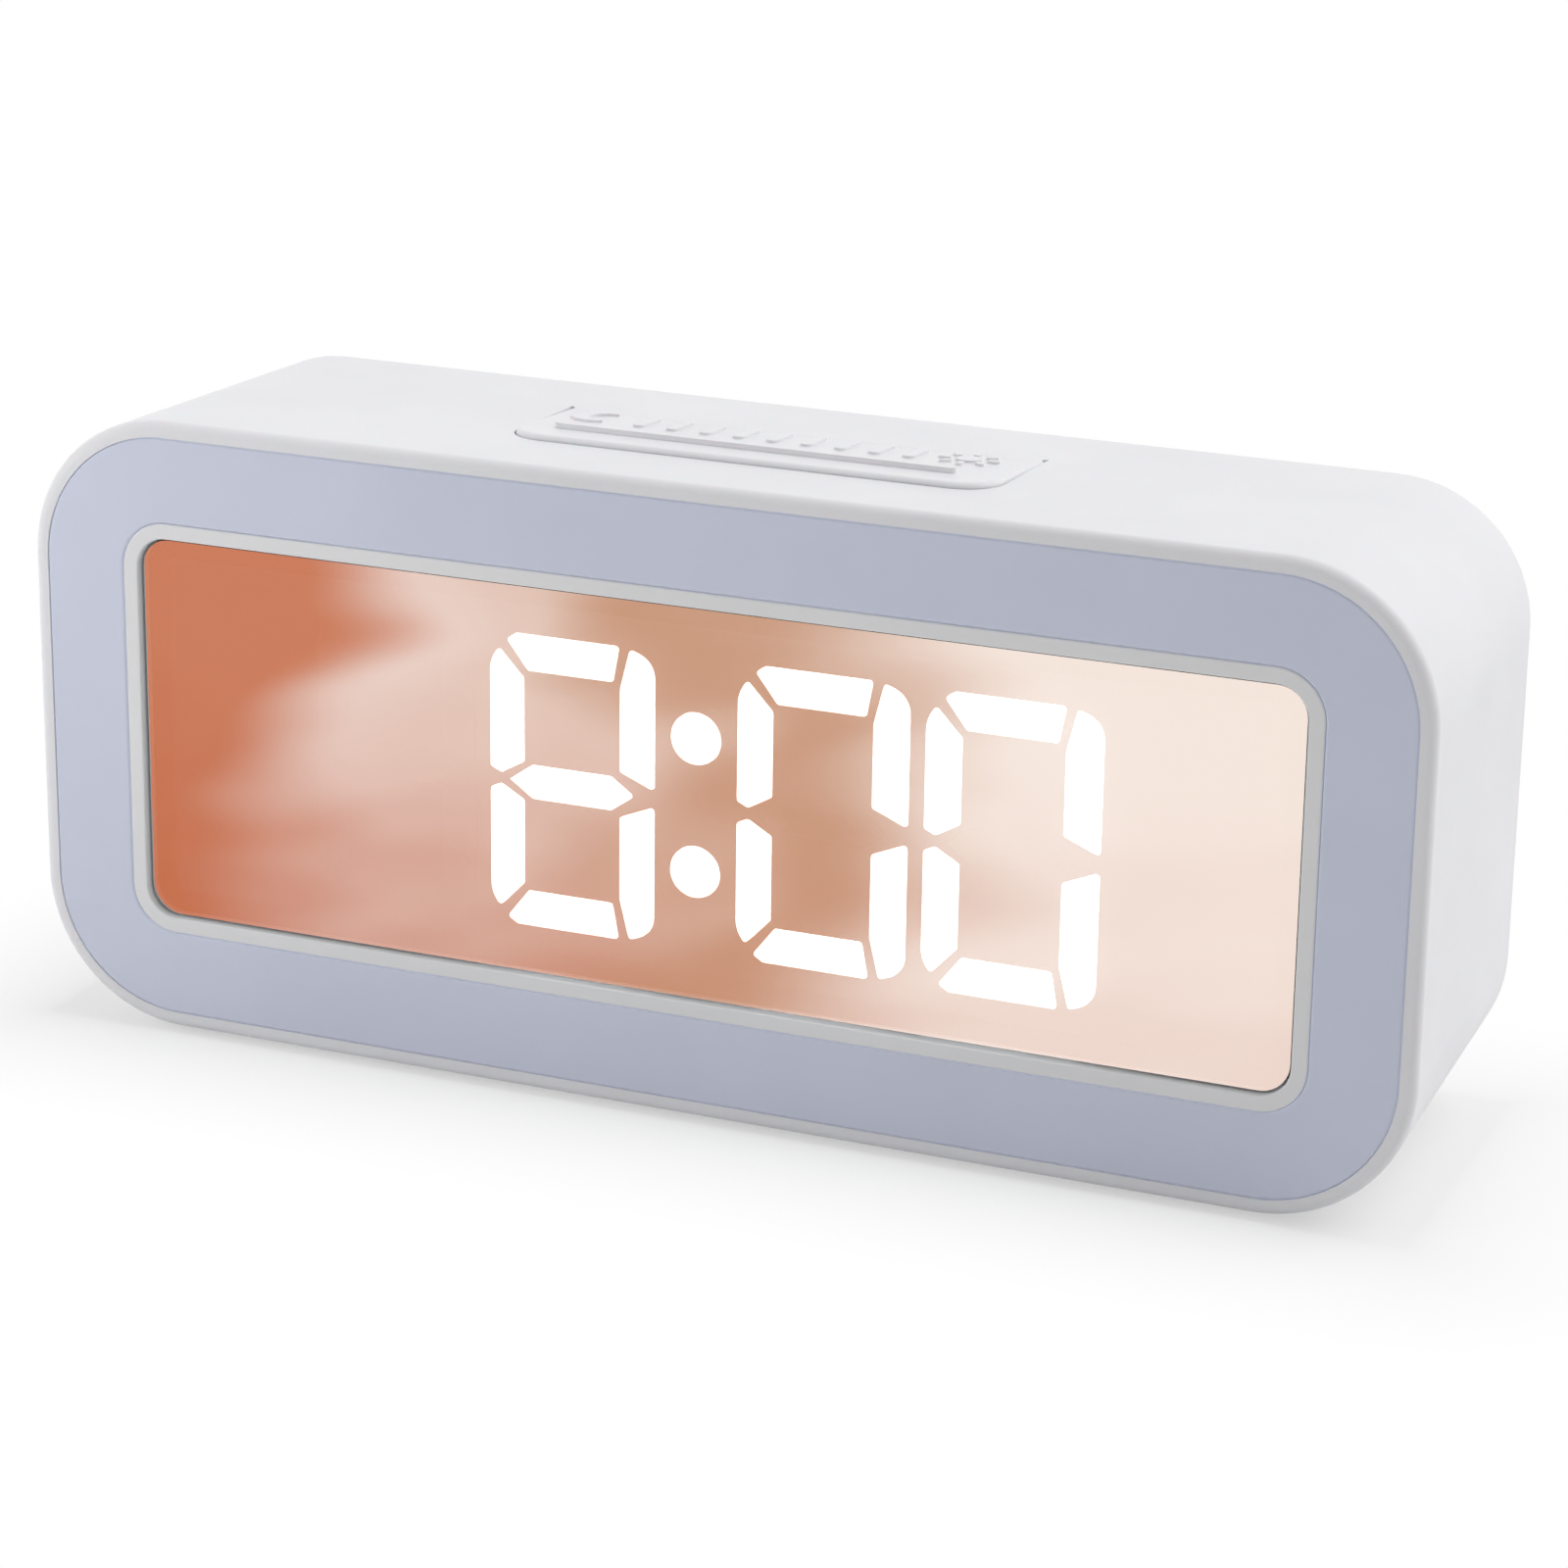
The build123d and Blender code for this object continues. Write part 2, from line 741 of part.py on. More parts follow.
def key_top_plane(depth):
    """Plane on the sloping top of the key at a depth, for its rib and marks."""
    rise = (depth_y(depth) - front_top[0]) / (root_top[0] - front_top[0])
    height = front_top[1] + rise * (root_top[1] - front_top[1])
    normal = Vector(0, 0, 1).rotate(Axis.X, -key_tilt)
    return Plane(origin=(key_marks_x, depth_y(depth), height), x_dir=(1, 0, 0), z_dir=normal)


with BuildPart() as snooze_light_key:
    with BuildSketch(Plane.YZ):
        with BuildLine():
            Polyline(root_top, front_top, front_bottom, root_bottom)
            ThreePointArc(root_bottom, (key_axis_y + key_hinge_radius, key_axis_z), root_top)
        make_face()
    extrude(amount=key_width / 2, both=True)
    fillet(snooze_light_key.edges().filter_by(Axis.Z), key_corner_radius)
    rim = snooze_light_key.faces().sort_by(Axis.Z)[-1].edges().sort_by(Axis.Y)[:-1]
    fillet(rim, key_edge_radius)
    # A finger rib and plain raised marks: a moon, grip bars and a sun
    with BuildSketch(key_top_plane(key_rib_depth)):
        SlotOverall(key_rib_length, key_rib_width)
    extrude(amount=key_rib_height, both=True)
    with BuildSketch(key_top_plane(mark_depth)):
        with Locations((-mark_spacing / 2, 0)):
            Circle(mark_radius)
        with Locations((-mark_spacing / 2 + moon_shift_share * mark_radius, 0)):
            Circle(moon_cut_share * mark_radius, mode=Mode.SUBTRACT)
        with Locations((mark_spacing / 2, 0)):
            Circle(sun_core_share * mark_radius)
            with PolarLocations(mark_radius, sun_ray_count):
                SlotOverall(sun_core_share * mark_radius, sun_ray_width)
        with GridLocations(grip_bar_pitch, 0, grip_bar_count, 1):
            SlotOverall(grip_bar_length, grip_bar_width, rotation=90)
    extrude(amount=mark_height, both=True)
    with BuildSketch(Plane.XY.offset(plunger_top + touch_gap)):
        with Locations((0, depth_y(key_post_depth))):
            Circle(key_post_radius)
    extrude(amount=top_z(key_post_depth) - case_wall / 2 - plunger_top - touch_gap)
save(snooze_light_key.part, "snooze_light_key")

# Rear cover with the battery bay
with BuildPart() as rear_cover:
    with BuildSketch(face_plane(cover_front)):
        RectangleRounded(*outline(cover_inset, case_depth))
    extrude(amount=-cover_thickness)
    with BuildSketch(face_plane(bay_floor - bay_wall)):
        with Locations((bay_x, 0)):
            Rectangle(bay_width + 2 * bay_wall, bay_height + 2 * bay_wall)
    extrude(amount=bay_floor - bay_wall - cover_front)
    with BuildSketch(face_plane(door_front - door_seat_thickness)):
        with Locations((bay_x, 0)):
            Rectangle(door_width + 2 * door_seat_margin, door_height + 2 * door_seat_margin)
    extrude(amount=door_front - door_seat_thickness - cover_back)
    with BuildSketch(face_plane(cover_front)):
        with Locations((button_board_x, 0)):
            with GridLocations(button_screw_spacing, button_screw_height, 2, 2):
                Circle(standoff_radius)
    extrude(amount=standoff_length)
    with BuildSketch(face_plane(door_front)):
        with Locations((bay_x, 0)):
            Rectangle(door_width + 2 * seat_clearance, door_height + 2 * seat_clearance)
    extrude(amount=door_front - cover_back, mode=Mode.SUBTRACT)
    with BuildSketch(face_plane(bay_floor)):
        with Locations((bay_x, 0)):
            Rectangle(bay_width, bay_height)
    extrude(amount=bay_floor - door_front, mode=Mode.SUBTRACT)
    with BuildSketch(Plane.YZ.offset(bay_x)):
        with Locations((depth_y(door_axis_depth), mid_z + door_axis_z)):
            Circle(door_pin_radius + hinge_clearance)
    pin_reach = door_width / 2 + door_pin_length + seat_clearance
    extrude(amount=pin_reach, both=True, mode=Mode.SUBTRACT)
    # Holes for screws, buttons, inlet and sound
    with BuildSketch(face_plane(cover_front)):
        with GridLocations(post_spacing_x, post_spacing_z, 2, 2):
            Circle(screw_radius + screw_clearance)
        with Locations((button_row_x, button_row_z)):
            with GridLocations(button_pitch, 0, len(button_names), 1):
                Circle(button_radius + button_hole_clearance)
        with Locations((inlet_x, inlet_z)):
            port_width = inlet_width + 2 * seat_clearance
            port_height = inlet_height + 2 * seat_clearance
            RectangleRounded(port_width, port_height, inlet_corner_radius + seat_clearance)
        with Locations((buzzer_x, buzzer_z)):
            Circle(sound_hole_radius)
            with PolarLocations(sound_ring_radius, sound_hole_count):
                Circle(sound_hole_radius)
    extrude(amount=-cover_thickness, mode=Mode.SUBTRACT)
    with BuildSketch(face_plane(cover_back)):
        with GridLocations(post_spacing_x, post_spacing_z, 2, 2):
            Circle(screw_head_radius + seat_clearance)
    extrude(amount=case_screw_sink, mode=Mode.SUBTRACT)
    with BuildSketch(face_plane(button_board_back)):
        with Locations((button_board_x, 0)):
            with GridLocations(button_screw_spacing, button_screw_height, 2, 2):
                Circle(board_screw_radius + screw_clearance)
    extrude(amount=-board_screw_length, mode=Mode.SUBTRACT)
save(rear_cover.part, "rear_cover")

# Battery door: a plate that turns on two pins at its upper edge
with BuildPart() as battery_door:
    plate_height = door_height - door_thickness / 2
    with BuildSketch(Plane.YZ.offset(bay_x)):
        with Locations((depth_y(door_axis_depth), mid_z + door_axis_z)):
            Circle(door_thickness / 2)
        with Locations((depth_y(door_axis_depth), mid_z + door_axis_z - plate_height / 2)):
            Rectangle(door_thickness, plate_height)
    extrude(amount=door_width / 2, both=True)
    fillet(battery_door.edges().filter_by(Axis.X).group_by(Axis.Z)[0], door_edge_radius)
    with BuildSketch(Plane.YZ.offset(bay_x)):
        with Locations((depth_y(door_axis_depth), mid_z + door_axis_z)):
            Circle(door_pin_radius)
    extrude(amount=door_width / 2 + door_pin_length, both=True)
    with BuildSketch(face_plane(cover_back)):
        with Locations((bay_x, -door_height / 2)):
            Circle(door_scoop_radius)
    extrude(amount=door_scoop_depth, mode=Mode.SUBTRACT)
save(battery_door.part, "battery_door")

# Battery cells, each the other way round from its neighbour
cell_pitch = 2 * cell_radius + cell_gap
cell_depth_middle = bay_floor + seat_clearance + cell_radius
cell_y = depth_y(cell_depth_middle)
cell_rows = [(row - (cell_count - 1) / 2) * cell_pitch for row in range(cell_count)]
cell_turns = [1 if row % 2 else -1 for row in range(cell_count)]
bay_end = bay_width / 2
plus_face = bay_end - bay_side_margin - contact_thickness
with BuildPart() as battery_cells:
    for row_z, turn in zip(cell_rows, cell_turns):
        nub_end = bay_x + turn * plus_face
        body_end = nub_end - turn * cell_nub_length
        with BuildSketch(Plane.YZ.offset(body_end)):
            with Locations((cell_y, mid_z + row_z)):
                Circle(cell_radius)
        extrude(amount=-turn * cell_length)
        with BuildSketch(Plane.YZ.offset(body_end)):
            with Locations((cell_y, mid_z + row_z)):
                Circle(cell_nub_radius)
        extrude(amount=turn * cell_nub_length)
    round_edges = battery_cells.edges().filter_by(GeomType.CIRCLE)
    can_edges = round_edges.filter_by(lambda edge: edge.radius > (cell_radius + cell_nub_radius) / 2)
    fillet(can_edges, cell_edge_radius)
save(battery_cells.part, "battery_cells")

# Battery contacts: a dimpled plate at each plus end, a plate with a bent leaf at each minus end
with BuildPart() as battery_plus_plates:
    for row_z, turn in zip(cell_rows, cell_turns):
        with BuildSketch(Plane.YZ.offset(bay_x + turn * bay_end)):
            with Locations((cell_y, mid_z + row_z)):
                Rectangle(contact_size, contact_size)
        extrude(amount=-turn * contact_thickness)
        with BuildSketch(Plane.YZ.offset(bay_x + turn * plus_face)):
            with Locations((cell_y, mid_z + row_z)):
                Circle(plus_dimple_radius)
        extrude(amount=turn * (bay_side_margin + contact_thickness))
save(battery_plus_plates.part, "battery_plus_plates")

with BuildPart() as battery_minus_springs:
    for row_z, turn in zip(cell_rows, cell_turns):
        wall_x = bay_x - turn * bay_end
        leaf_root = wall_x + turn * contact_thickness / 2
        leaf_tip = leaf_root + turn * (spring_reach + bay_side_margin - contact_thickness)
        with BuildSketch(Plane.YZ.offset(wall_x)):
            with Locations((cell_y, mid_z + row_z)):
                Rectangle(contact_size, contact_size)
        extrude(amount=turn * contact_thickness)
        with BuildSketch(Plane.XY.offset(mid_z + row_z)):
            with BuildLine():
                Polyline(
                    (leaf_root, cell_y - contact_size / 2 + contact_thickness),
                    (leaf_tip, cell_y),
                    ((leaf_root + leaf_tip) / 2, cell_y + contact_size / 4),
                )
            trace(line_width=contact_thickness)
        extrude(amount=spring_width / 2, both=True)
save(battery_minus_springs.part, "battery_minus_springs")

# Button board with its four switches
with BuildPart() as button_board:
    with BuildSketch(face_plane(button_board_front)):
        with Locations((button_board_x, 0)):
            RectangleRounded(button_board_width, button_board_height, board_corner_radius)
            with GridLocations(button_screw_spacing, button_screw_height, 2, 2):
                Circle(board_screw_radius + screw_clearance, mode=Mode.SUBTRACT)
    extrude(amount=-board_thickness)
save(button_board.part, "button_board")

with BuildPart() as button_switch_bodies:
    with BuildSketch(face_plane(button_board_back)):
        with Locations((button_row_x, button_row_z)):
            with GridLocations(button_pitch, 0, len(button_names), 1):
                RectangleRounded(switch_size, switch_size, switch_corner_radius)
    extrude(amount=-switch_height)
    with BuildSketch(face_plane(switch_top)):
        with Locations((button_row_x, button_row_z)):
            with GridLocations(button_pitch, 0, len(button_names), 1):
                Circle(switch_plunger_radius + fit_clearance)
    extrude(amount=switch_bore_depth, mode=Mode.SUBTRACT)
save(button_switch_bodies.part, "button_switch_bodies")


def button_mark(name):
    """Plain mark sunk in a rear button: bars, a ring, or an arrow up or down."""
    with BuildSketch() as mark:
        if name == "mode":
            with GridLocations(0, button_bar_pitch, 1, button_bar_count):
                SlotOverall(2 * button_mark_radius, button_mark_width)
        elif name == "set":
            Circle(button_mark_radius)
            Circle(button_mark_radius - button_mark_width, mode=Mode.SUBTRACT)
        else:
            RegularPolygon(button_mark_radius, 3, rotation=90 if name == "up" else -90)
    return mark.sketch


# Each rear button: a cap with a flange behind the cover, on the plunger of its switch
for index, name in enumerate(button_names):
    button_x = button_row_x + (index - (len(button_names) - 1) / 2) * button_pitch
    with BuildPart() as button_cap:
        with BuildSketch(face_plane(button_flange_front)):
            with Locations((button_x, button_row_z)):
                Circle(button_radius + button_flange_width)
        extrude(amount=-button_flange_thickness)
        with BuildSketch(face_plane(button_flange_front)):
            with Locations((button_x, button_row_z)):
                Circle(button_radius)
        extrude(amount=button_flange_front - cover_back - button_proud)
        fillet(button_cap.edges().sort_by(Axis.Y)[-1], button_edge_radius)
        with BuildSketch(face_plane(cover_back + button_proud)):
            with Locations((button_x, button_row_z)):
                add(button_mark(name))
        extrude(amount=button_mark_depth, mode=Mode.SUBTRACT)
    save(button_cap.part, f"{name}_button_cap")

    with BuildPart() as switch_plunger:
        with BuildSketch(face_plane(button_flange_front)):
            with Locations((button_x, button_row_z)):
                Circle(switch_plunger_radius)
        extrude(amount=switch_plunger_proud + switch_plunger_sunk)
    save(switch_plunger.part, f"{name}_switch_plunger")

# Power inlet on the button board
inlet_floor = button_board_back + inlet_base
inlet_mouth = cover_back - inlet_inset
with BuildPart() as power_inlet_shell:
    with BuildSketch(face_plane(button_board_back)):
        with Locations((inlet_x, inlet_z)):
            RectangleRounded(inlet_width, inlet_height, inlet_corner_radius)
    extrude(amount=button_board_back - inlet_mouth)
    with BuildSketch(face_plane(inlet_floor)):
        with Locations((inlet_x, inlet_z)):
            inner_width = inlet_width - 2 * inlet_shell
            inner_height = inlet_height - 2 * inlet_shell
            RectangleRounded(inner_width, inner_height, inlet_corner_radius - inlet_shell)
    extrude(amount=inlet_floor - inlet_mouth, mode=Mode.SUBTRACT)
save(power_inlet_shell.part, "power_inlet_shell")

with BuildPart() as power_inlet_tongue:
    with BuildSketch(face_plane(inlet_floor)):
        with Locations((inlet_x, inlet_z)):
            Rectangle(inlet_tongue_width, inlet_tongue_height)
    extrude(amount=inlet_floor - inlet_mouth + inlet_tongue_inset)
save(power_inlet_tongue.part, "power_inlet_tongue")

# Alarm buzzer behind the sound holes
with BuildPart() as alarm_buzzer:
    with BuildSketch(face_plane(button_board_back)):
        with Locations((buzzer_x, buzzer_z)):
            Circle(buzzer_radius)
    extrude(amount=-buzzer_height)
    with BuildSketch(face_plane(button_board_back + buzzer_height)):
        with Locations((buzzer_x, buzzer_z)):
            Circle(buzzer_port_radius)
    extrude(amount=buzzer_port_depth, mode=Mode.SUBTRACT)
save(alarm_buzzer.part, "alarm_buzzer")

# Flat ribbon between the two boards, with a plug at each end
ribbon_start = depth_y(main_board_back + connector_depth)
ribbon_end = depth_y(button_board_front - connector_depth)
ribbon_straight = (ribbon_end - ribbon_start) / 3
with BuildPart() as board_ribbon:
    with BuildSketch(Plane.YZ.offset(ribbon_x)):
        with BuildLine():
            FilletPolyline(
                (ribbon_start, mid_z + ribbon_main_z),
                (ribbon_start + ribbon_straight, mid_z + ribbon_main_z),
                (ribbon_end - ribbon_straight, mid_z + ribbon_button_z),
                (ribbon_end, mid_z + ribbon_button_z),
                radius=ribbon_bend_share * ribbon_straight,
            )
        trace(line_width=ribbon_thickness)
    extrude(amount=ribbon_width / 2, both=True)
save(board_ribbon.part, "board_ribbon")

with BuildPart() as ribbon_connectors:
    with BuildSketch(face_plane(main_board_back)):
        with Locations((ribbon_x, ribbon_main_z)):
            Rectangle(connector_width, connector_height)
    extrude(amount=-connector_depth)
    with BuildSketch(face_plane(button_board_front)):
        with Locations((ribbon_x, ribbon_button_z)):
            Rectangle(connector_width, connector_height)
    extrude(amount=connector_depth)
save(ribbon_connectors.part, "ribbon_connectors")

# Battery leads from the bay's end wall to the button board
lead_start_x = bay_x + bay_end + bay_wall
lead_end_x = button_board_x - button_board_width / 2 + lead_edge_margin
lead_y = depth_y(button_board_front) - lead_bend_radius - lead_radius
with BuildPart() as battery_leads:
    for lead_row in (lead_z - lead_spacing / 2, lead_z + lead_spacing / 2):
        with BuildLine(Plane.XY.offset(mid_z + lead_row)) as lead_path:
            FilletPolyline(
                (lead_start_x, lead_y),
                (lead_end_x, lead_y),
                (lead_end_x, depth_y(button_board_front)),
                radius=lead_bend_radius,
            )
        with BuildSketch(Plane(lead_path.line @ 0, z_dir=lead_path.line % 0)):
            Circle(lead_radius)
        sweep()
save(battery_leads.part, "battery_leads")

# Screws with a cross recess: four through the rear cover, four in each board
screw_seat = cover_back - case_screw_sink
cross_depth = screw_head_height * screw_slot_depth_share
with BuildPart() as case_screws:
    with BuildSketch(face_plane(screw_seat)):
        with GridLocations(post_spacing_x, post_spacing_z, 2, 2):
            Circle(screw_head_radius)
    extrude(amount=-screw_head_height)
    with BuildSketch(face_plane(screw_seat)):
        with GridLocations(post_spacing_x, post_spacing_z, 2, 2):
            Circle(screw_radius)
    extrude(amount=case_screw_length)
    with BuildSketch(face_plane(screw_seat + screw_head_height)):
        with GridLocations(post_spacing_x, post_spacing_z, 2, 2):
            Rectangle(screw_head_radius, screw_slot_width)
            Rectangle(screw_slot_width, screw_head_radius)
    extrude(amount=cross_depth, mode=Mode.SUBTRACT)
save(case_screws.part, "case_screws")

board_cross_depth = board_screw_head_height * screw_slot_depth_share
with BuildPart() as main_board_screws:
    with BuildSketch(face_plane(main_board_back)):
        with GridLocations(main_board_screw_spacing, main_board_screw_height, 2, 2):
            Circle(board_screw_head_radius)
    extrude(amount=-board_screw_head_height)
    with BuildSketch(face_plane(main_board_back)):
        with GridLocations(main_board_screw_spacing, main_board_screw_height, 2, 2):
            Circle(board_screw_radius)
    extrude(amount=board_screw_length)
    with BuildSketch(face_plane(main_board_back + board_screw_head_height)):
        with GridLocations(main_board_screw_spacing, main_board_screw_height, 2, 2):
            Rectangle(board_screw_head_radius, screw_slot_width)
            Rectangle(screw_slot_width, board_screw_head_radius)
    extrude(amount=board_cross_depth, mode=Mode.SUBTRACT)
save(main_board_screws.part, "main_board_screws")

with BuildPart() as button_board_screws:
    with BuildSketch(face_plane(button_board_front)):
        with Locations((button_board_x, 0)):
            with GridLocations(button_screw_spacing, button_screw_height, 2, 2):
                Circle(board_screw_head_radius)
    extrude(amount=board_screw_head_height)
    with BuildSketch(face_plane(button_board_front)):
        with Locations((button_board_x, 0)):
            with GridLocations(button_screw_spacing, button_screw_height, 2, 2):
                Circle(board_screw_radius)
    extrude(amount=-board_screw_length)
    with BuildSketch(face_plane(button_board_front - board_screw_head_height)):
        with Locations((button_board_x, 0)):
            with GridLocations(button_screw_spacing, button_screw_height, 2, 2):
                Rectangle(board_screw_head_radius, screw_slot_width)
                Rectangle(screw_slot_width, board_screw_head_radius)
    extrude(amount=-board_cross_depth, mode=Mode.SUBTRACT)
save(button_board_screws.part, "button_board_screws")
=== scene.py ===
import json
import math

import bmesh
import bpy
from mathutils import Matrix, Vector
from mathutils.bvhtree import BVHTree


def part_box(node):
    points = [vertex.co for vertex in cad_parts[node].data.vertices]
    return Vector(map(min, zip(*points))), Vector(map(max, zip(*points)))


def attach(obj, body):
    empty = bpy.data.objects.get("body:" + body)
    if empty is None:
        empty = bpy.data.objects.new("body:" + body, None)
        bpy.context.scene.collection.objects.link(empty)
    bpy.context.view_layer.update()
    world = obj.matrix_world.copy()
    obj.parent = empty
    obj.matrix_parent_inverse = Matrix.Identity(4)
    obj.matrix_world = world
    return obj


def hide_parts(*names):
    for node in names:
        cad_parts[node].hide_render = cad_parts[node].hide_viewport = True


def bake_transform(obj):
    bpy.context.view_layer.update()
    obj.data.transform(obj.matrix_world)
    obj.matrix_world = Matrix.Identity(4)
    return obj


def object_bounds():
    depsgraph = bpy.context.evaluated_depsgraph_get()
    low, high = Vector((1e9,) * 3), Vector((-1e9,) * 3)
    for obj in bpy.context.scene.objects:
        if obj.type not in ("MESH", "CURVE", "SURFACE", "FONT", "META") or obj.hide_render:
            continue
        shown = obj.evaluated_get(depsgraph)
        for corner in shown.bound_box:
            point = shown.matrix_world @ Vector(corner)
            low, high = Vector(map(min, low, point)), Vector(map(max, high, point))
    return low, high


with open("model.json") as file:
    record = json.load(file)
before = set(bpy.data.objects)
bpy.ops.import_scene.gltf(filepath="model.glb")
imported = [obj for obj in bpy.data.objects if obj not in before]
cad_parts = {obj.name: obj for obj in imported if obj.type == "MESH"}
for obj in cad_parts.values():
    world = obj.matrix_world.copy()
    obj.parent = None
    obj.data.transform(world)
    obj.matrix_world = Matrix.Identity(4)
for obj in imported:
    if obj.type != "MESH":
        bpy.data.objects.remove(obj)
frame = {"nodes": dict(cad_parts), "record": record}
cad_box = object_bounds()

# All lengths are in metres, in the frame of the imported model: X right, -Y out of the front, Z up.
MM = 0.001
WHITE = (1.0, 1.0, 1.0)

# Camera, as the photograph was taken
CAMERA_PLACE = Vector((0.1727, -0.4109, 0.1763))
CAMERA_TARGET = Vector((0.0099, -0.02, 0.03754))
CAMERA_ROLL = math.radians(0.81)
CAMERA_LENS = 104.28
CAMERA_SENSOR = 36.0

# Floor: it takes the clock's shadow near the clock and is plain white further out
FLOOR_SIZE = 8.0
FLOOR_COLOR = (0.80, 0.80, 0.80)
FLOOR_ROUGHNESS = 0.9
SHADOW_REACH = 24 * MM
SHADOW_WHITE = 0.5

# Light: a sky that is dimmer in front, and two soft lamps
SKY_FRONT = 0.15
SKY_BACK = 1.0
TOP_LAMP_PLACE = Vector((0.65, 0.25, 1.0))
TOP_LAMP_SIZE = 0.9
TOP_LAMP_POWER = 6.3
LEFT_LAMP_PLACE = Vector((-0.22, -0.18, 0.12))
LEFT_LAMP_SIZE = 0.12
LEFT_LAMP_POWER = 0.23

# A soft warm card that glows, lies in front of the clock and shows only in its mirror: a painted reflection
CARD_LOW = (-0.35, -0.6)
CARD_HIGH = (0.2, -0.021)
CARD_HEIGHT = 0.3 * MM
CARD_SEEN_X = (-0.09, 0.045)
CARD_SEEN_Y = (-0.055, -0.18)
CARD_SHEAR = 0.44
CARD_STOPS = (
    (0.03, (1.05, 0.36, 0.19)),
    (0.24, (1.42, 1.08, 0.95)),
    (0.38, (1.34, 0.98, 0.83)),
    (0.53, (1.03, 0.56, 0.36)),
    (0.86, (1.60, 1.38, 1.25)),
)
CARD_DRIFT_SIZE = 70 * MM
CARD_DRIFT = 0.14

# The deeper tone in the card's lower left corner, in shares of what the mirror shows of the card
CARD_DEEP = (0.95, 0.25, 0.11)
CARD_DEEP_TOP = 0.7
CARD_DEEP_SIDE = (0.1, 0.75)
CARD_DEEP_LEAST = 0.25
CARD_CLOUD_SIZE = 50 * MM
CARD_CLOUD_LEAST = 0.35

# The web of case plastic that the key bends on
WEB_HALF_WIDTH = 1.2 * MM
WEB_RISE = 0.01 * MM
WEB_FOOT = 0.003 * MM
WEB_END_MARGINS = (0.25 * MM, 0.32 * MM, 0.42 * MM, 0.6 * MM)
WEB_SHARES = (-1.0, -0.7, -0.4, -0.12, 0.12, 0.4, 0.7, 1.0)

# Noise: the range that holds most of its values, and the middle of that range
NOISE_MOST = (0.3, 0.7)
NOISE_MIDDLE = (0.35, 0.65)

# Moulded plastic
MOULD_CLOUD_SIZE = 22 * MM
MOULD_CLOUD_SHADE = 0.975
MOULD_SHEEN_SIZE = 9 * MM
MOULD_SPECK_ROUGHNESS = 0.6
BEVEL_SAMPLES = 6
CASE_WHITE = (0.84, 0.838, 0.862)
CASE_DEPTH = 1.2 * MM
CASE_DEPTH_SHARE = 0.08
CASE_IOR = 1.5
FRAME_WHITE = (0.835, 0.835, 0.845)

# Bare and plated metal
METAL_LINE_SIZE = 0.25 * MM
METAL_LINE_DEPTH = 0.006 * MM
METAL_PATCH_SIZE = 2.5 * MM
METAL_PATCH_RANGE = (0.35, 0.7)
METAL_PATCH_SHADE = 0.86

# Light ring
DIFFUSER_COLOR = (0.678, 0.71, 0.845)
DIFFUSER_CLOUD_SIZE = 14 * MM
DIFFUSER_CLOUD_SHADE = 0.97
DIFFUSER_DEPTH = 1.0 * MM
DIFFUSER_DEPTH_SHARE = 0.08
DIFFUSER_SHEEN_SIZE = 6 * MM
DIFFUSER_SHINE = (0.34, 0.42)
DIFFUSER_GRAIN = 0.18 * MM
DIFFUSER_GRAIN_DEPTH = 0.004 * MM
# Painted light: the ring's side walls glow a little, which lightens the shade in the gaps around the ring
DIFFUSER_PAINTED_LIGHT_FACING = (0.2, 0.8)
DIFFUSER_PAINTED_EDGE_LIGHT = 0.18

# Mirror
MIRROR_COLOR = (0.86, 0.86, 0.86)
MIRROR_ALPHA = 0.66
MIRROR_CORNER = 3.2 * MM
MIRROR_CHAMFER = 0.12 * MM
CLEAR_COLOR = (0.9, 0.93, 0.93)
CLEAR_ALPHA = 0.06
CLEAR_SHEEN_SIZE = 5 * MM
CLEAR_SHINE = (0.04, 0.1)

# Lit segments
LIT_COLOR = (0.97, 1.0, 1.0)
LIT_STRENGTH = 3.4
LIT_LEAST = 0.94
LIT_HAZE_SIZE = 4 * MM
LIT_ROUGHNESS = 0.4

# Circuit boards
BOARD_DARK = (0.008, 0.075, 0.03)
BOARD_LIGHT = (0.012, 0.1, 0.042)
BOARD_WEAVE_SIZE = 0.6 * MM
BOARD_ROUGHNESS = 0.3
TRACK_COLOR = (0.03, 0.17, 0.07)
TRACK_SIZE = 3.2 * MM
TRACK_EDGES = (0.06, 0.1)
TRACK_DEPTH = 0.03 * MM

# Battery cells: three in a row one above the other, the middle one turned round
CELL_COUNT = 3
CELL_FILM = (0.18, 0.2, 0.24)
CELL_BAND = (0.62, 0.63, 0.65)
CELL_END = (0.7, 0.69, 0.66)
CELL_BAND_START = (8 * MM, 8.4 * MM)
CELL_END_FACING = (0.55, 0.7)
CELL_METAL = (0.25, 0.95)
CELL_SHEEN_SIZE = 3 * MM
CELL_SHINE = (0.2, 0.34)
CELL_WRINKLE_SIZE = 0.7 * MM
CELL_WRINKLE_DEPTH = 0.008 * MM

# Wires, ribbon and tape
LEAD_BLACK = (0.015, 0.015, 0.015)
LEAD_RED = (0.42, 0.012, 0.01)
LEAD_SPLIT = 0.55
LEAD_ROUGHNESS = 0.42
LEAD_GRAIN = 0.3 * MM
LEAD_GRAIN_DEPTH = 0.01 * MM
# Ribbon colours: painted shade in the grooves and painted light on the ridges
RIBBON_GROOVE_SHADE = (0.32, 0.32, 0.34)
RIBBON_RIDGE_LIT = (0.5, 0.5, 0.52)
RIBBON_PITCH = 1.0 * MM
RIBBON_RIDGE = 0.15 * MM
RIBBON_ROUGHNESS = 0.45
# Foam colours: the pits are painted darker, as shade
FOAM_PIT_SHADE = (0.008, 0.008, 0.008)
FOAM_LIGHT = (0.03, 0.03, 0.03)
FOAM_PORE_SIZE = 0.25 * MM
FOAM_PORE_DEPTH = 0.05 * MM
FOAM_ROUGHNESS = 0.9

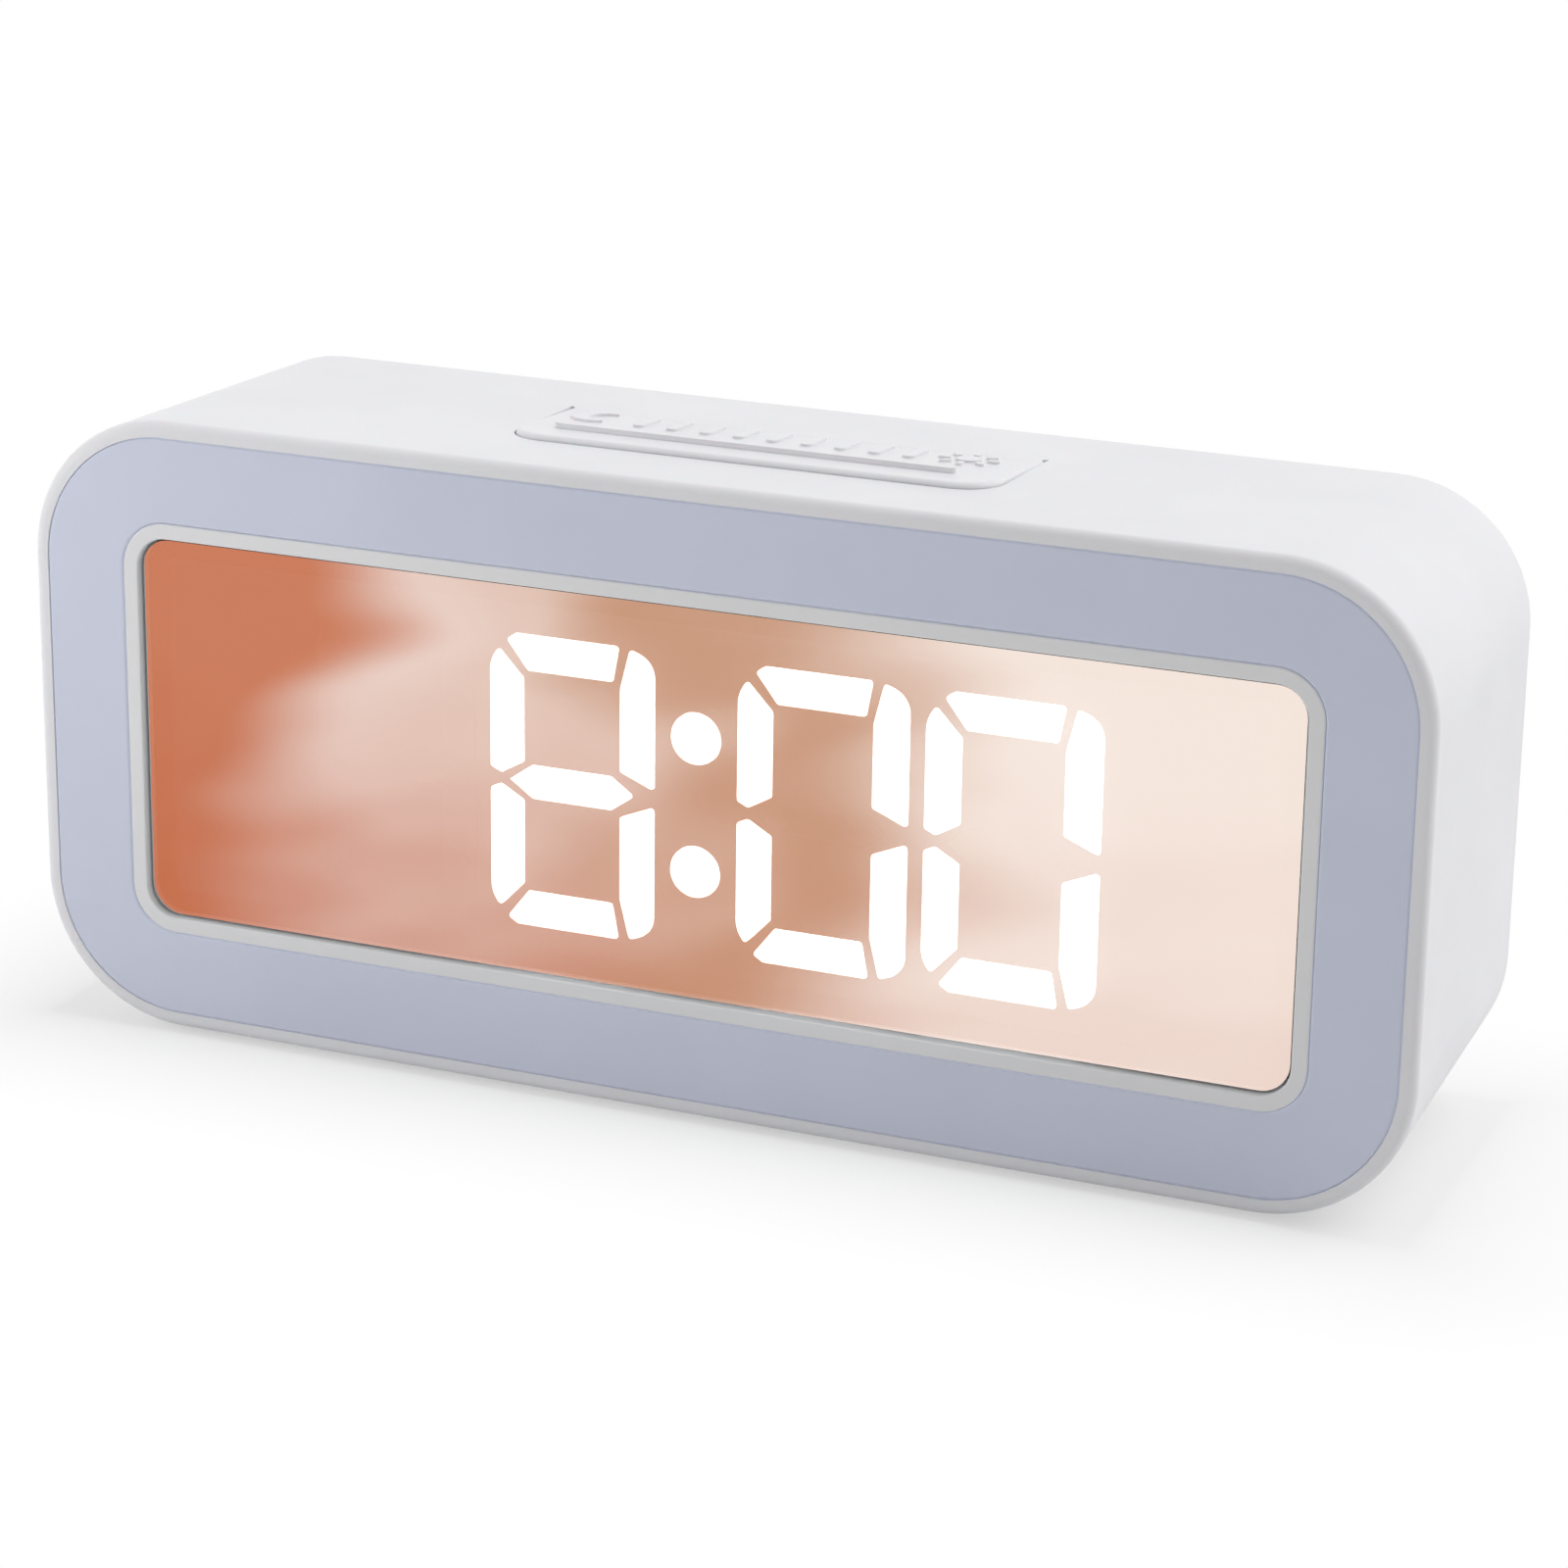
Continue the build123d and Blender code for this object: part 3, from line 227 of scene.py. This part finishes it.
# Plain plastics and rubber by slot: what each one sets of moulded()
PLASTICS = {
    "white_frame": dict(name="frame_plastic", color=FRAME_WHITE, grain=0.2 * MM, depth=0.006 * MM,
                        shine=(0.3, 0.4), edge=0.0),
    "display_black": dict(name="display_black", color=(0.012, 0.012, 0.014), shine=(0.5, 0.65)),
    "dark_window": dict(name="dark_window", color=(0.03, 0.03, 0.034), depth=0.004 * MM, shine=(0.25, 0.35)),
    "black_resin": dict(name="black_resin", color=(0.018, 0.018, 0.02), grain=0.2 * MM, shine=(0.45, 0.6)),
    "led_phosphor": dict(name="led_phosphor", color=(0.8, 0.66, 0.16), grain=0.15 * MM, shine=(0.25, 0.4)),
    "foot_rubber": dict(name="foot_rubber", color=(0.11, 0.11, 0.115), grain=0.3 * MM, depth=0.03 * MM,
                        shine=(0.7, 0.85)),
    "button_white": dict(name="button_plastic", color=(0.76, 0.76, 0.78), grain=0.22 * MM,
                         shine=(0.32, 0.42)),
    "connector_white": dict(name="connector_plastic", color=(0.78, 0.75, 0.66), grain=0.25 * MM),
}

# Metals by slot: what each one sets of metal()
METALS = {
    "tinned_metal": dict(name="tinned_metal", color=(0.72, 0.72, 0.73), stretch=(1.0, 0.15, 1.0)),
    "spring_metal": dict(name="spring_metal", color=(0.78, 0.76, 0.71), shine=(0.16, 0.32)),
    "screw_steel": dict(name="screw_steel", color=(0.58, 0.59, 0.61), shine=(0.28, 0.45)),
}


class Graph:
    """A node tree, and short ways to add and join its nodes."""

    def __init__(self, tree, place="Object"):
        self.nodes = tree.nodes
        self.links = tree.links
        self.place = self.add("ShaderNodeTexCoord").outputs[place]

    def add(self, kind, **values):
        """A new node, with its properties or unlinked sockets set by name."""
        node = self.nodes.new(kind)
        for key, value in values.items():
            if hasattr(node, key):
                setattr(node, key, value)
            else:
                self.feed(node.inputs[key], value)
        return node

    def feed(self, socket, value):
        """Links a socket to another node's output, or sets its plain value."""
        if isinstance(value, bpy.types.NodeSocket):
            self.links.new(value, socket)
        elif isinstance(value, tuple) and len(value) == 3 and socket.type == "RGBA":
            socket.default_value = (*value, 1.0)
        else:
            socket.default_value = value

    def noise(self, size, detail=2.0, roughness=0.5, stretch=(1.0, 1.0, 1.0)):
        """Noise whose features are about this long, in metres."""
        mapping = self.add("ShaderNodeMapping", Vector=self.place, Scale=tuple(s / size for s in stretch))
        node = self.add("ShaderNodeTexNoise", Vector=mapping.outputs["Vector"], Scale=1.0)
        self.feed(node.inputs["Detail"], detail)
        self.feed(node.inputs["Roughness"], roughness)
        return node.outputs["Fac"]

    def uneven(self, size, low, high, detail=2.0, source=NOISE_MOST):
        """Noise of this size, in metres, spread between two values."""
        return self.between(self.noise(size, detail), *source, low, high)

    def cells(self, size, feature="F1"):
        """Voronoi cells of about this size, in metres."""
        node = self.add("ShaderNodeTexVoronoi", feature=feature, Vector=self.place)
        self.feed(node.inputs["Scale"], 1.0 / size)
        return node.outputs["Distance"]

    def between(self, value, low, high, out_low, out_high):
        """A value moved from one range to another, held at the ends."""
        node = self.add("ShaderNodeMapRange", clamp=True)
        for key, number in zip(("Value", "From Min", "From Max", "To Min", "To Max"),
                               (value, low, high, out_low, out_high)):
            self.feed(node.inputs[key], number)
        return node.outputs["Result"]

    def blend(self, amount, first, second):
        """A colour between two others."""
        node = self.add("ShaderNodeMix", data_type="RGBA")
        self.feed(node.inputs["Factor"], amount)
        self.feed(node.inputs[6], first)
        self.feed(node.inputs[7], second)
        return node.outputs[2]

    def math(self, operation, first, second=0.0):
        """One arithmetic step."""
        node = self.add("ShaderNodeMath", operation=operation)
        self.feed(node.inputs[0], first)
        self.feed(node.inputs[1], second)
        return node.outputs["Value"]

    def axis(self, name):
        """One coordinate of the surface point."""
        return self.add("ShaderNodeSeparateXYZ", Vector=self.place).outputs[name]

    def normal(self, name):
        """One coordinate of the direction that the surface faces."""
        geometry = self.add("ShaderNodeNewGeometry")
        return self.add("ShaderNodeSeparateXYZ", Vector=geometry.outputs["Normal"]).outputs[name]

    def background_rays(self):
        """1 for the rays that see the plain white background: from the camera, a gloss or through glass."""
        path = self.add("ShaderNodeLightPath")
        seen = self.math("MAXIMUM", path.outputs["Is Camera Ray"], path.outputs["Is Glossy Ray"])
        return self.math("MAXIMUM", seen, path.outputs["Is Transmission Ray"])


class Finish(Graph):
    """A material with one Principled shader."""

    def __init__(self, name):
        self.material = bpy.data.materials.new(name)
        self.material.use_nodes = True
        super().__init__(self.material.node_tree)
        self.shader = self.nodes["Principled BSDF"]

    def set(self, **values):
        """Feeds the shader's sockets; an underscore in a name stands for a space."""
        for key, value in values.items():
            self.feed(self.shader.inputs[key.replace("_", " ")], value)
        return self

    def relief(self, height, depth, edge=0.0):
        """Surface relief of a real depth in metres, on edges softened by a small radius."""
        bump = self.add("ShaderNodeBump", Height=height, Strength=1.0, Distance=depth)
        if edge:
            soft = self.add("ShaderNodeBevel", samples=BEVEL_SAMPLES, Radius=edge)
            self.feed(bump.inputs["Normal"], soft.outputs["Normal"])
        self.set(Normal=bump.outputs["Normal"])
        return self

    def mix_shaders(self, amount, first, second):
        """Ends the material in a mix of two shaders."""
        mix = self.add("ShaderNodeMixShader")
        for socket, value in zip(mix.inputs, (amount, first, second)):
            self.feed(socket, value)
        self.feed(self.nodes["Material Output"].inputs["Surface"], mix.outputs["Shader"])


def scaled(color, factor):
    """A colour made darker or lighter."""
    return tuple(channel * factor for channel in color)


def moulded(name, color, grain=0.35 * MM, depth=0.012 * MM, shine=(0.36, 0.5), edge=0.12 * MM):
    """Moulded plastic: spark-eroded grain, faint flow clouds and a slightly uneven sheen."""
    finish = Finish(name)
    clouds = finish.uneven(MOULD_CLOUD_SIZE, 0.0, 1.0, detail=3.0, source=NOISE_MIDDLE)
    finish.set(Base_Color=finish.blend(clouds, scaled(color, MOULD_CLOUD_SHADE), color))
    finish.set(Roughness=finish.uneven(MOULD_SHEEN_SIZE, *shine, detail=4.0))
    return finish.relief(finish.noise(grain, roughness=MOULD_SPECK_ROUGHNESS), depth, edge=edge)


def metal(name, color, shine=(0.22, 0.4), stretch=(1.0, 1.0, 1.0), edge=0.06 * MM):
    """Bare or plated metal with fine drawn lines and dull patches."""
    finish = Finish(name)
    lines = finish.noise(METAL_LINE_SIZE, detail=3.0, stretch=stretch)
    patches = finish.noise(METAL_PATCH_SIZE, detail=4.0)
    clean = finish.between(patches, *METAL_PATCH_RANGE, 0.0, 1.0)
    finish.set(Base_Color=finish.blend(clean, scaled(color, METAL_PATCH_SHADE), color), Metallic=1.0)
    finish.set(Roughness=finish.between(patches, *NOISE_MOST, *shine))
    return finish.relief(lines, METAL_LINE_DEPTH, edge=edge)


def case_finish():
    """White case plastic with a little depth to its colour."""
    finish = moulded("case_plastic", CASE_WHITE)
    return finish.set(Subsurface_Weight=CASE_DEPTH_SHARE, Subsurface_Scale=CASE_DEPTH, IOR=CASE_IOR)


def diffuser_finish():
    """Milky lavender-grey plastic of the light ring, faintly clouded, with painted light: its side walls glow
    a little to lighten the shade in the gaps beside it.
    """
    finish = Finish("milky_diffuser")
    clouds = finish.uneven(DIFFUSER_CLOUD_SIZE, 0.0, 1.0, detail=3.0)
    finish.set(Base_Color=finish.blend(clouds, scaled(DIFFUSER_COLOR, DIFFUSER_CLOUD_SHADE), DIFFUSER_COLOR))
    finish.set(Subsurface_Weight=DIFFUSER_DEPTH_SHARE, Subsurface_Scale=DIFFUSER_DEPTH)
    finish.set(Subsurface_Radius=WHITE)
    finish.set(Roughness=finish.uneven(DIFFUSER_SHEEN_SIZE, *DIFFUSER_SHINE, detail=3.0))
    # Painted light: emission on the walls that face sideways lightens the shade in the gaps beside the ring
    facing = finish.math("ABSOLUTE", finish.normal("Y"))
    painted_edge_light = finish.between(facing, *DIFFUSER_PAINTED_LIGHT_FACING, DIFFUSER_PAINTED_EDGE_LIGHT, 0.0)
    finish.set(Emission_Color=DIFFUSER_COLOR, Emission_Strength=painted_edge_light)
    return finish.relief(finish.noise(DIFFUSER_GRAIN), DIFFUSER_GRAIN_DEPTH)


def mirror_finish():
    """Half-silvered mirror: mostly reflects, and lets the lit segments through."""
    finish = Finish("half_mirror")
    return finish.set(Base_Color=MIRROR_COLOR, Metallic=1.0, Alpha=MIRROR_ALPHA, Roughness=0.0)


def clear_finish():
    """Clear acrylic of the mirror's edges and back."""
    finish = Finish("clear_acrylic")
    return finish.set(Base_Color=CLEAR_COLOR, Alpha=CLEAR_ALPHA,
                      Roughness=finish.uneven(CLEAR_SHEEN_SIZE, *CLEAR_SHINE))


def lit_finish():
    """Segment windows with their lamps on."""
    finish = Finish("lit_window")
    glow = finish.uneven(LIT_HAZE_SIZE, LIT_LEAST * LIT_STRENGTH, LIT_STRENGTH, detail=1.0)
    finish.set(Emission_Color=LIT_COLOR, Emission_Strength=glow)
    return finish.set(Base_Color=LIT_COLOR, Roughness=LIT_ROUGHNESS)


def board_finish():
    """Green board lacquer with tracks showing through."""
    finish = Finish("board_lacquer")
    tracks = finish.between(finish.cells(TRACK_SIZE, "DISTANCE_TO_EDGE"), *TRACK_EDGES, 1.0, 0.0)
    base = finish.blend(finish.uneven(BOARD_WEAVE_SIZE, 0.0, 1.0), BOARD_DARK, BOARD_LIGHT)
    finish.set(Base_Color=finish.blend(tracks, base, TRACK_COLOR), Roughness=BOARD_ROUGHNESS)
    return finish.relief(tracks, TRACK_DEPTH)


def cell_finish():
    """Battery cells: a plain slate film jacket with a silver band at the plus end, and bare steel ends."""
    finish = Finish("cell_jacket")
    low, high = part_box("battery_cells")
    middle = (low + high) / 2
    in_middle_row = finish.math("COMPARE", finish.axis("Z"), middle.z)
    in_middle_row.node.inputs[2].default_value = (high.z - low.z) / CELL_COUNT / 2
    turn = finish.math("SUBTRACT", finish.math("MULTIPLY", in_middle_row, 2.0), 1.0)
    along = finish.math("MULTIPLY", finish.math("SUBTRACT", finish.axis("X"), middle.x), turn)
    band = finish.between(along, *CELL_BAND_START, 0.0, 1.0)
    end = finish.between(finish.math("ABSOLUTE", finish.normal("X")), *CELL_END_FACING, 0.0, 1.0)
    finish.set(Base_Color=finish.blend(end, finish.blend(band, CELL_FILM, CELL_BAND), CELL_END))
    finish.set(Metallic=finish.between(finish.math("MAXIMUM", band, end), 0.0, 1.0, *CELL_METAL))
    finish.set(Roughness=finish.uneven(CELL_SHEEN_SIZE, *CELL_SHINE, detail=4.0))
    return finish.relief(finish.noise(CELL_WRINKLE_SIZE), CELL_WRINKLE_DEPTH)


def lead_finish():
    """Wire jackets: black for the lower lead, red for the upper one."""
    finish = Finish("wire_jacket")
    low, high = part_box("battery_leads")
    upper = finish.math("GREATER_THAN", finish.axis("Z"), low.z + LEAD_SPLIT * (high.z - low.z))
    finish.set(Base_Color=finish.blend(upper, LEAD_BLACK, LEAD_RED), Roughness=LEAD_ROUGHNESS)
    return finish.relief(finish.noise(LEAD_GRAIN), LEAD_GRAIN_DEPTH)


def ribbon_finish():
    """Flat ribbon with the ridge of each wire, painted lighter on the ridges and darker in the grooves as
    shade.
    """
    finish = Finish("ribbon_jacket")
    wave = finish.math("SINE", finish.math("MULTIPLY", finish.axis("X"), 2 * math.pi / RIBBON_PITCH))
    ridge = finish.between(wave, -1.0, 1.0, 0.0, 1.0)
    finish.set(Base_Color=finish.blend(ridge, RIBBON_GROOVE_SHADE, RIBBON_RIDGE_LIT), Roughness=RIBBON_ROUGHNESS)
    return finish.relief(ridge, RIBBON_RIDGE)


def foam_finish():
    """Black foam tape with open cells, painted darker in the pits as shade."""
    finish = Finish("foam_tape")
    pores = finish.cells(FOAM_PORE_SIZE)
    finish.set(Base_Color=finish.blend(pores, FOAM_PIT_SHADE, FOAM_LIGHT), Roughness=FOAM_ROUGHNESS)
    return finish.relief(pores, FOAM_PORE_DEPTH)


# Finishes by slot that need more than moulded() or metal()
OTHER_FINISHES = {
    "white_case": case_finish,
    "diffuser": diffuser_finish,
    "mirror": mirror_finish,
    "lit_window": lit_finish,
    "circuit_board": board_finish,
    "foam_tape": foam_finish,
    "cell_jacket": cell_finish,
    "wire_jacket": lead_finish,
    "ribbon_grey": ribbon_finish,
}


def dress():
    """Gives every CAD node the finish of its slot, and returns the materials by slot."""
    made = {slot: moulded(**look).material for slot, look in PLASTICS.items()}
    made.update((slot, metal(**look).material) for slot, look in METALS.items())
    made.update((slot, build().material) for slot, build in OTHER_FINISHES.items())
    for part in frame["record"]["subparts"]:
        mesh = frame["nodes"][part["node"]].data
        mesh.materials.clear()
        mesh.materials.append(made[part["material_slot"]])
    return made


def rounded_outline(width, height, corner, steps=10):
    """Points round a rectangle with round corners, in X and Z about its middle."""
    points = []
    for quarter, (side_x, side_z) in enumerate(((1, 1), (-1, 1), (-1, -1), (1, -1))):
        for step in range(steps + 1):
            angle = (quarter + step / steps) * math.pi / 2
            x = side_x * (width / 2 - corner) + corner * math.cos(angle)
            z = side_z * (height / 2 - corner) + corner * math.sin(angle)
            points.append((x, z))
    return points


def new_piece(name, mesh_maker):
    """An object whose mesh is made by a function that fills a bmesh."""
    mesh = bpy.data.meshes.new(name)
    shape = bmesh.new()
    mesh_maker(shape)
    bmesh.ops.recalc_face_normals(shape, faces=shape.faces)
    shape.to_mesh(mesh)
    shape.free()
    piece = bpy.data.objects.new(name, mesh)
    bpy.context.scene.collection.objects.link(piece)
    return piece


def make_mirror(finish, edge_finish):
    """The mirror plate with its edges eased: silvered in front, clear at its sides and back."""
    low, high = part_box("mirror_lens")
    middle = (low + high) / 2
    size = high - low

    def fill(shape):
        rings = []
        for inset, y in ((MIRROR_CHAMFER, low.y), (0.0, low.y + MIRROR_CHAMFER), (0.0, high.y)):
            outline = rounded_outline(size.x - 2 * inset, size.z - 2 * inset, MIRROR_CORNER - inset)
            rings.append([shape.verts.new((middle.x + x, y, middle.z + z)) for x, z in outline])
        shape.faces.new(rings[0])
        sides = [shape.faces.new(reversed(rings[-1]))]
        for first, second in zip(rings, rings[1:]):
            for index in range(len(first)):
                corner = (first[index - 1], first[index], second[index], second[index - 1])
                sides.append(shape.faces.new(corner))
        for face in sides:
            face.material_index = 1

    mirror = new_piece("mirror_plate", fill)
    mirror.data.materials.append(finish)
    mirror.data.materials.append(edge_finish)
    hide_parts("mirror_lens")
    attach(mirror, "clock_body")


def skin_of(node):
    """A function that gives the point of a node's upper skin at a place seen from above."""
    shape = bmesh.new()
    shape.from_mesh(frame["nodes"][node].data)
    tree = BVHTree.FromBMesh(shape)
    shape.free()
    above = cad_box[1][2] + MM
    return lambda x, y: tree.ray_cast(Vector((x, y, above)), Vector((0, 0, -1)))[0]


def make_key_web(finish):
    """The thin strip at the key's root that joins it to the case."""
    joint = next(j for j in frame["record"]["behaviour"]["joints"] if j["name"] == "key_press")
    axis = Vector(joint["pos_m"])
    key_skin, case_skin = skin_of("snooze_light_key"), skin_of("outer_case")
    low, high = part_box("snooze_light_key")
    rise = case_skin(0, high.y).z - axis.z
    root_y = axis.y + math.sqrt((high.y - axis.y) ** 2 - rise**2)
    columns = [low.x + margin for margin in WEB_END_MARGINS]
    columns += [high.x - margin for margin in reversed(WEB_END_MARGINS)]

    def skin(x, share):
        """Point of the plastic's skin, this share of the web's half width behind the root line."""
        y = root_y + share * WEB_HALF_WIDTH
        return case_skin(x, y) if share > 0 else key_skin(x, y)

    def fill(shape):
        loops = []
        for x in columns:
            over, under = [], []
            for share in WEB_SHARES:
                foot = skin(x, share) + Vector((0, 0, WEB_FOOT))
                bulge = WEB_RISE * (1.0 - share**2)
                over.append(shape.verts.new(foot + Vector((0, 0, WEB_FOOT + bulge))))
                under.append(shape.verts.new(foot))
            loops.append(over + under[::-1])
        count = len(loops[0])
        for first, second in zip(loops, loops[1:]):
            for index in range(count):
                after = (index + 1) % count
                shape.faces.new((first[index], first[after], second[after], second[index]))
        for loop in (loops[0], loops[-1]):
            shape.faces.new(loop)

    web = new_piece("key_web", fill)
    web.data.materials.append(finish)
    skin(0, 0.7)
    skin(0, -0.12)
    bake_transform(web)


def plane(name, size, place):
    """A flat stage object."""
    mesh = bpy.data.meshes.new(name)
    half_x, half_y = size[0] / 2, size[1] / 2
    corners = [(-half_x, -half_y, 0), (half_x, -half_y, 0), (half_x, half_y, 0), (-half_x, half_y, 0)]
    mesh.from_pydata(corners, [], [(0, 1, 2, 3)])
    item = bpy.data.objects.new(name, mesh)
    item.location = place
    bpy.context.scene.collection.objects.link(item)
    return item


def distance_from_clock(finish):
    """How far a floor point lies outside the clock's footprint."""
    low, high = cad_box
    overs = []
    for axis, half in (("X", (high[0] - low[0]) / 2), ("Y", (high[1] - low[1]) / 2)):
        over = finish.math("SUBTRACT", finish.math("ABSOLUTE", finish.axis(axis)), half)
        overs.append(finish.math("POWER", finish.math("MAXIMUM", over, 0.0), 2.0))
    return finish.math("SQRT", finish.math("ADD", *overs))


def make_floor():
    """A pale floor that takes the clock's shadow and turns plain white further out."""
    finish = Finish("floor")
    finish.set(Base_Color=FLOOR_COLOR, Roughness=FLOOR_ROUGHNESS, Specular_IOR_Level=0.0)
    fade = finish.between(distance_from_clock(finish), 0.0, SHADOW_REACH, 0.0, 1.0)
    fade = finish.between(finish.math("SQRT", fade), 0.0, 1.0, SHADOW_WHITE, 1.0)
    glow = finish.add("ShaderNodeEmission", Color=WHITE, Strength=1.0)
    finish.mix_shaders(finish.math("MULTIPLY", fade, finish.background_rays()),
                       finish.shader.outputs["BSDF"], glow.outputs["Emission"])
    floor = plane("floor", (FLOOR_SIZE, FLOOR_SIZE), (0, 0, 0))
    floor.data.materials.append(finish.material)


def card_color(finish):
    """Soft clouds, from terracotta on the left to cream on the right, and deeper in the lower left corner."""
    ramp = finish.add("ShaderNodeValToRGB")
    ramp.color_ramp.interpolation = "EASE"
    while len(ramp.color_ramp.elements) < len(CARD_STOPS):
        ramp.color_ramp.elements.new(1.0)
    for element, (position, color) in zip(ramp.color_ramp.elements, CARD_STOPS):
        element.position = position
        element.color = (*color, 1.0)
    away = finish.math("SUBTRACT", finish.axis("Y"), CARD_SEEN_Y[0])
    along = finish.math("SUBTRACT", finish.axis("X"), finish.math("MULTIPLY", away, CARD_SHEAR))
    across = finish.between(along, *CARD_SEEN_X, 0.0, 1.0)
    upward = finish.between(finish.axis("Y"), *CARD_SEEN_Y, 0.0, 1.0)
    drift = finish.uneven(CARD_DRIFT_SIZE, -CARD_DRIFT, CARD_DRIFT, detail=1.5)
    finish.feed(ramp.inputs["Fac"], finish.math("ADD", across, drift))
    clouds = finish.uneven(CARD_CLOUD_SIZE, CARD_CLOUD_LEAST, 1.0, source=NOISE_MIDDLE)
    corner = finish.math("MULTIPLY", finish.between(upward, 0.0, CARD_DEEP_TOP, 1.0, 0.0),
                         finish.between(across, *CARD_DEEP_SIDE, 1.0, CARD_DEEP_LEAST))
    return finish.blend(finish.math("MULTIPLY", corner, clouds), ramp.outputs["Color"], CARD_DEEP)


def make_card():
    """The warm card on the floor, which glows and is seen only in the mirror: a painted reflection."""
    finish = Finish("reflected_card")
    finish.place = finish.add("ShaderNodeNewGeometry").outputs["Position"]
    glow = finish.add("ShaderNodeEmission", Color=card_color(finish), Strength=1.0)
    clear = finish.add("ShaderNodeBsdfTransparent")
    finish.mix_shaders(finish.add("ShaderNodeLightPath").outputs["Is Singular Ray"],
                       clear.outputs["BSDF"], glow.outputs["Emission"])
    size = [high - low for low, high in zip(CARD_LOW, CARD_HIGH)]
    middle = [(low + high) / 2 for low, high in zip(CARD_LOW, CARD_HIGH)]
    card = plane("reflected_card", size, (*middle, CARD_HEIGHT))
    card.data.materials.append(finish.material)
    card.visible_camera = False
    card.visible_diffuse = False
    card.visible_transmission = False
    card.visible_shadow = False


def make_world():
    """Sky light, dimmer in front, and a plain white background for what the camera and the mirror see."""
    world = bpy.data.worlds.new("studio")
    world.use_nodes = True
    bpy.context.scene.world = world
    sky = Graph(world.node_tree, "Generated")
    light = sky.between(sky.axis("Y"), -1.0, 1.0, SKY_FRONT, SKY_BACK)
    background = sky.nodes["Background"]
    sky.feed(background.inputs["Color"], WHITE)
    sky.feed(background.inputs["Strength"], sky.math("MAXIMUM", light, sky.background_rays()))


def make_lamp(name, place, size, power):
    """A square soft lamp aimed at the clock."""
    data = bpy.data.lights.new(name, "AREA")
    data.size = size
    data.energy = power
    lamp = bpy.data.objects.new(name, data)
    lamp.location = place
    lamp.rotation_euler = (-place).to_track_quat("-Z", "Y").to_euler()
    lamp.visible_glossy = False
    bpy.context.scene.collection.objects.link(lamp)


def make_camera():
    """The photograph's camera."""
    data = bpy.data.cameras.new("camera")
    data.lens = CAMERA_LENS
    data.sensor_width = CAMERA_SENSOR
    camera = bpy.data.objects.new("camera", data)
    turn = (CAMERA_TARGET - CAMERA_PLACE).to_track_quat("-Z", "Y").to_matrix().to_4x4()
    camera.matrix_world = Matrix.Translation(CAMERA_PLACE) @ turn @ Matrix.Rotation(CAMERA_ROLL, 4, "Z")
    bpy.context.scene.collection.objects.link(camera)
    bpy.context.scene.camera = camera


finishes = dress()
make_mirror(finishes["mirror"], clear_finish().material)
make_key_web(moulded("web_plastic", CASE_WHITE, edge=0.0).material)
make_floor()
make_card()
make_world()
make_lamp("top_lamp", TOP_LAMP_PLACE, TOP_LAMP_SIZE, TOP_LAMP_POWER)
make_lamp("left_lamp", LEFT_LAMP_PLACE, LEFT_LAMP_SIZE, LEFT_LAMP_POWER)
make_camera()
bpy.context.scene.view_settings.view_transform = "Standard"
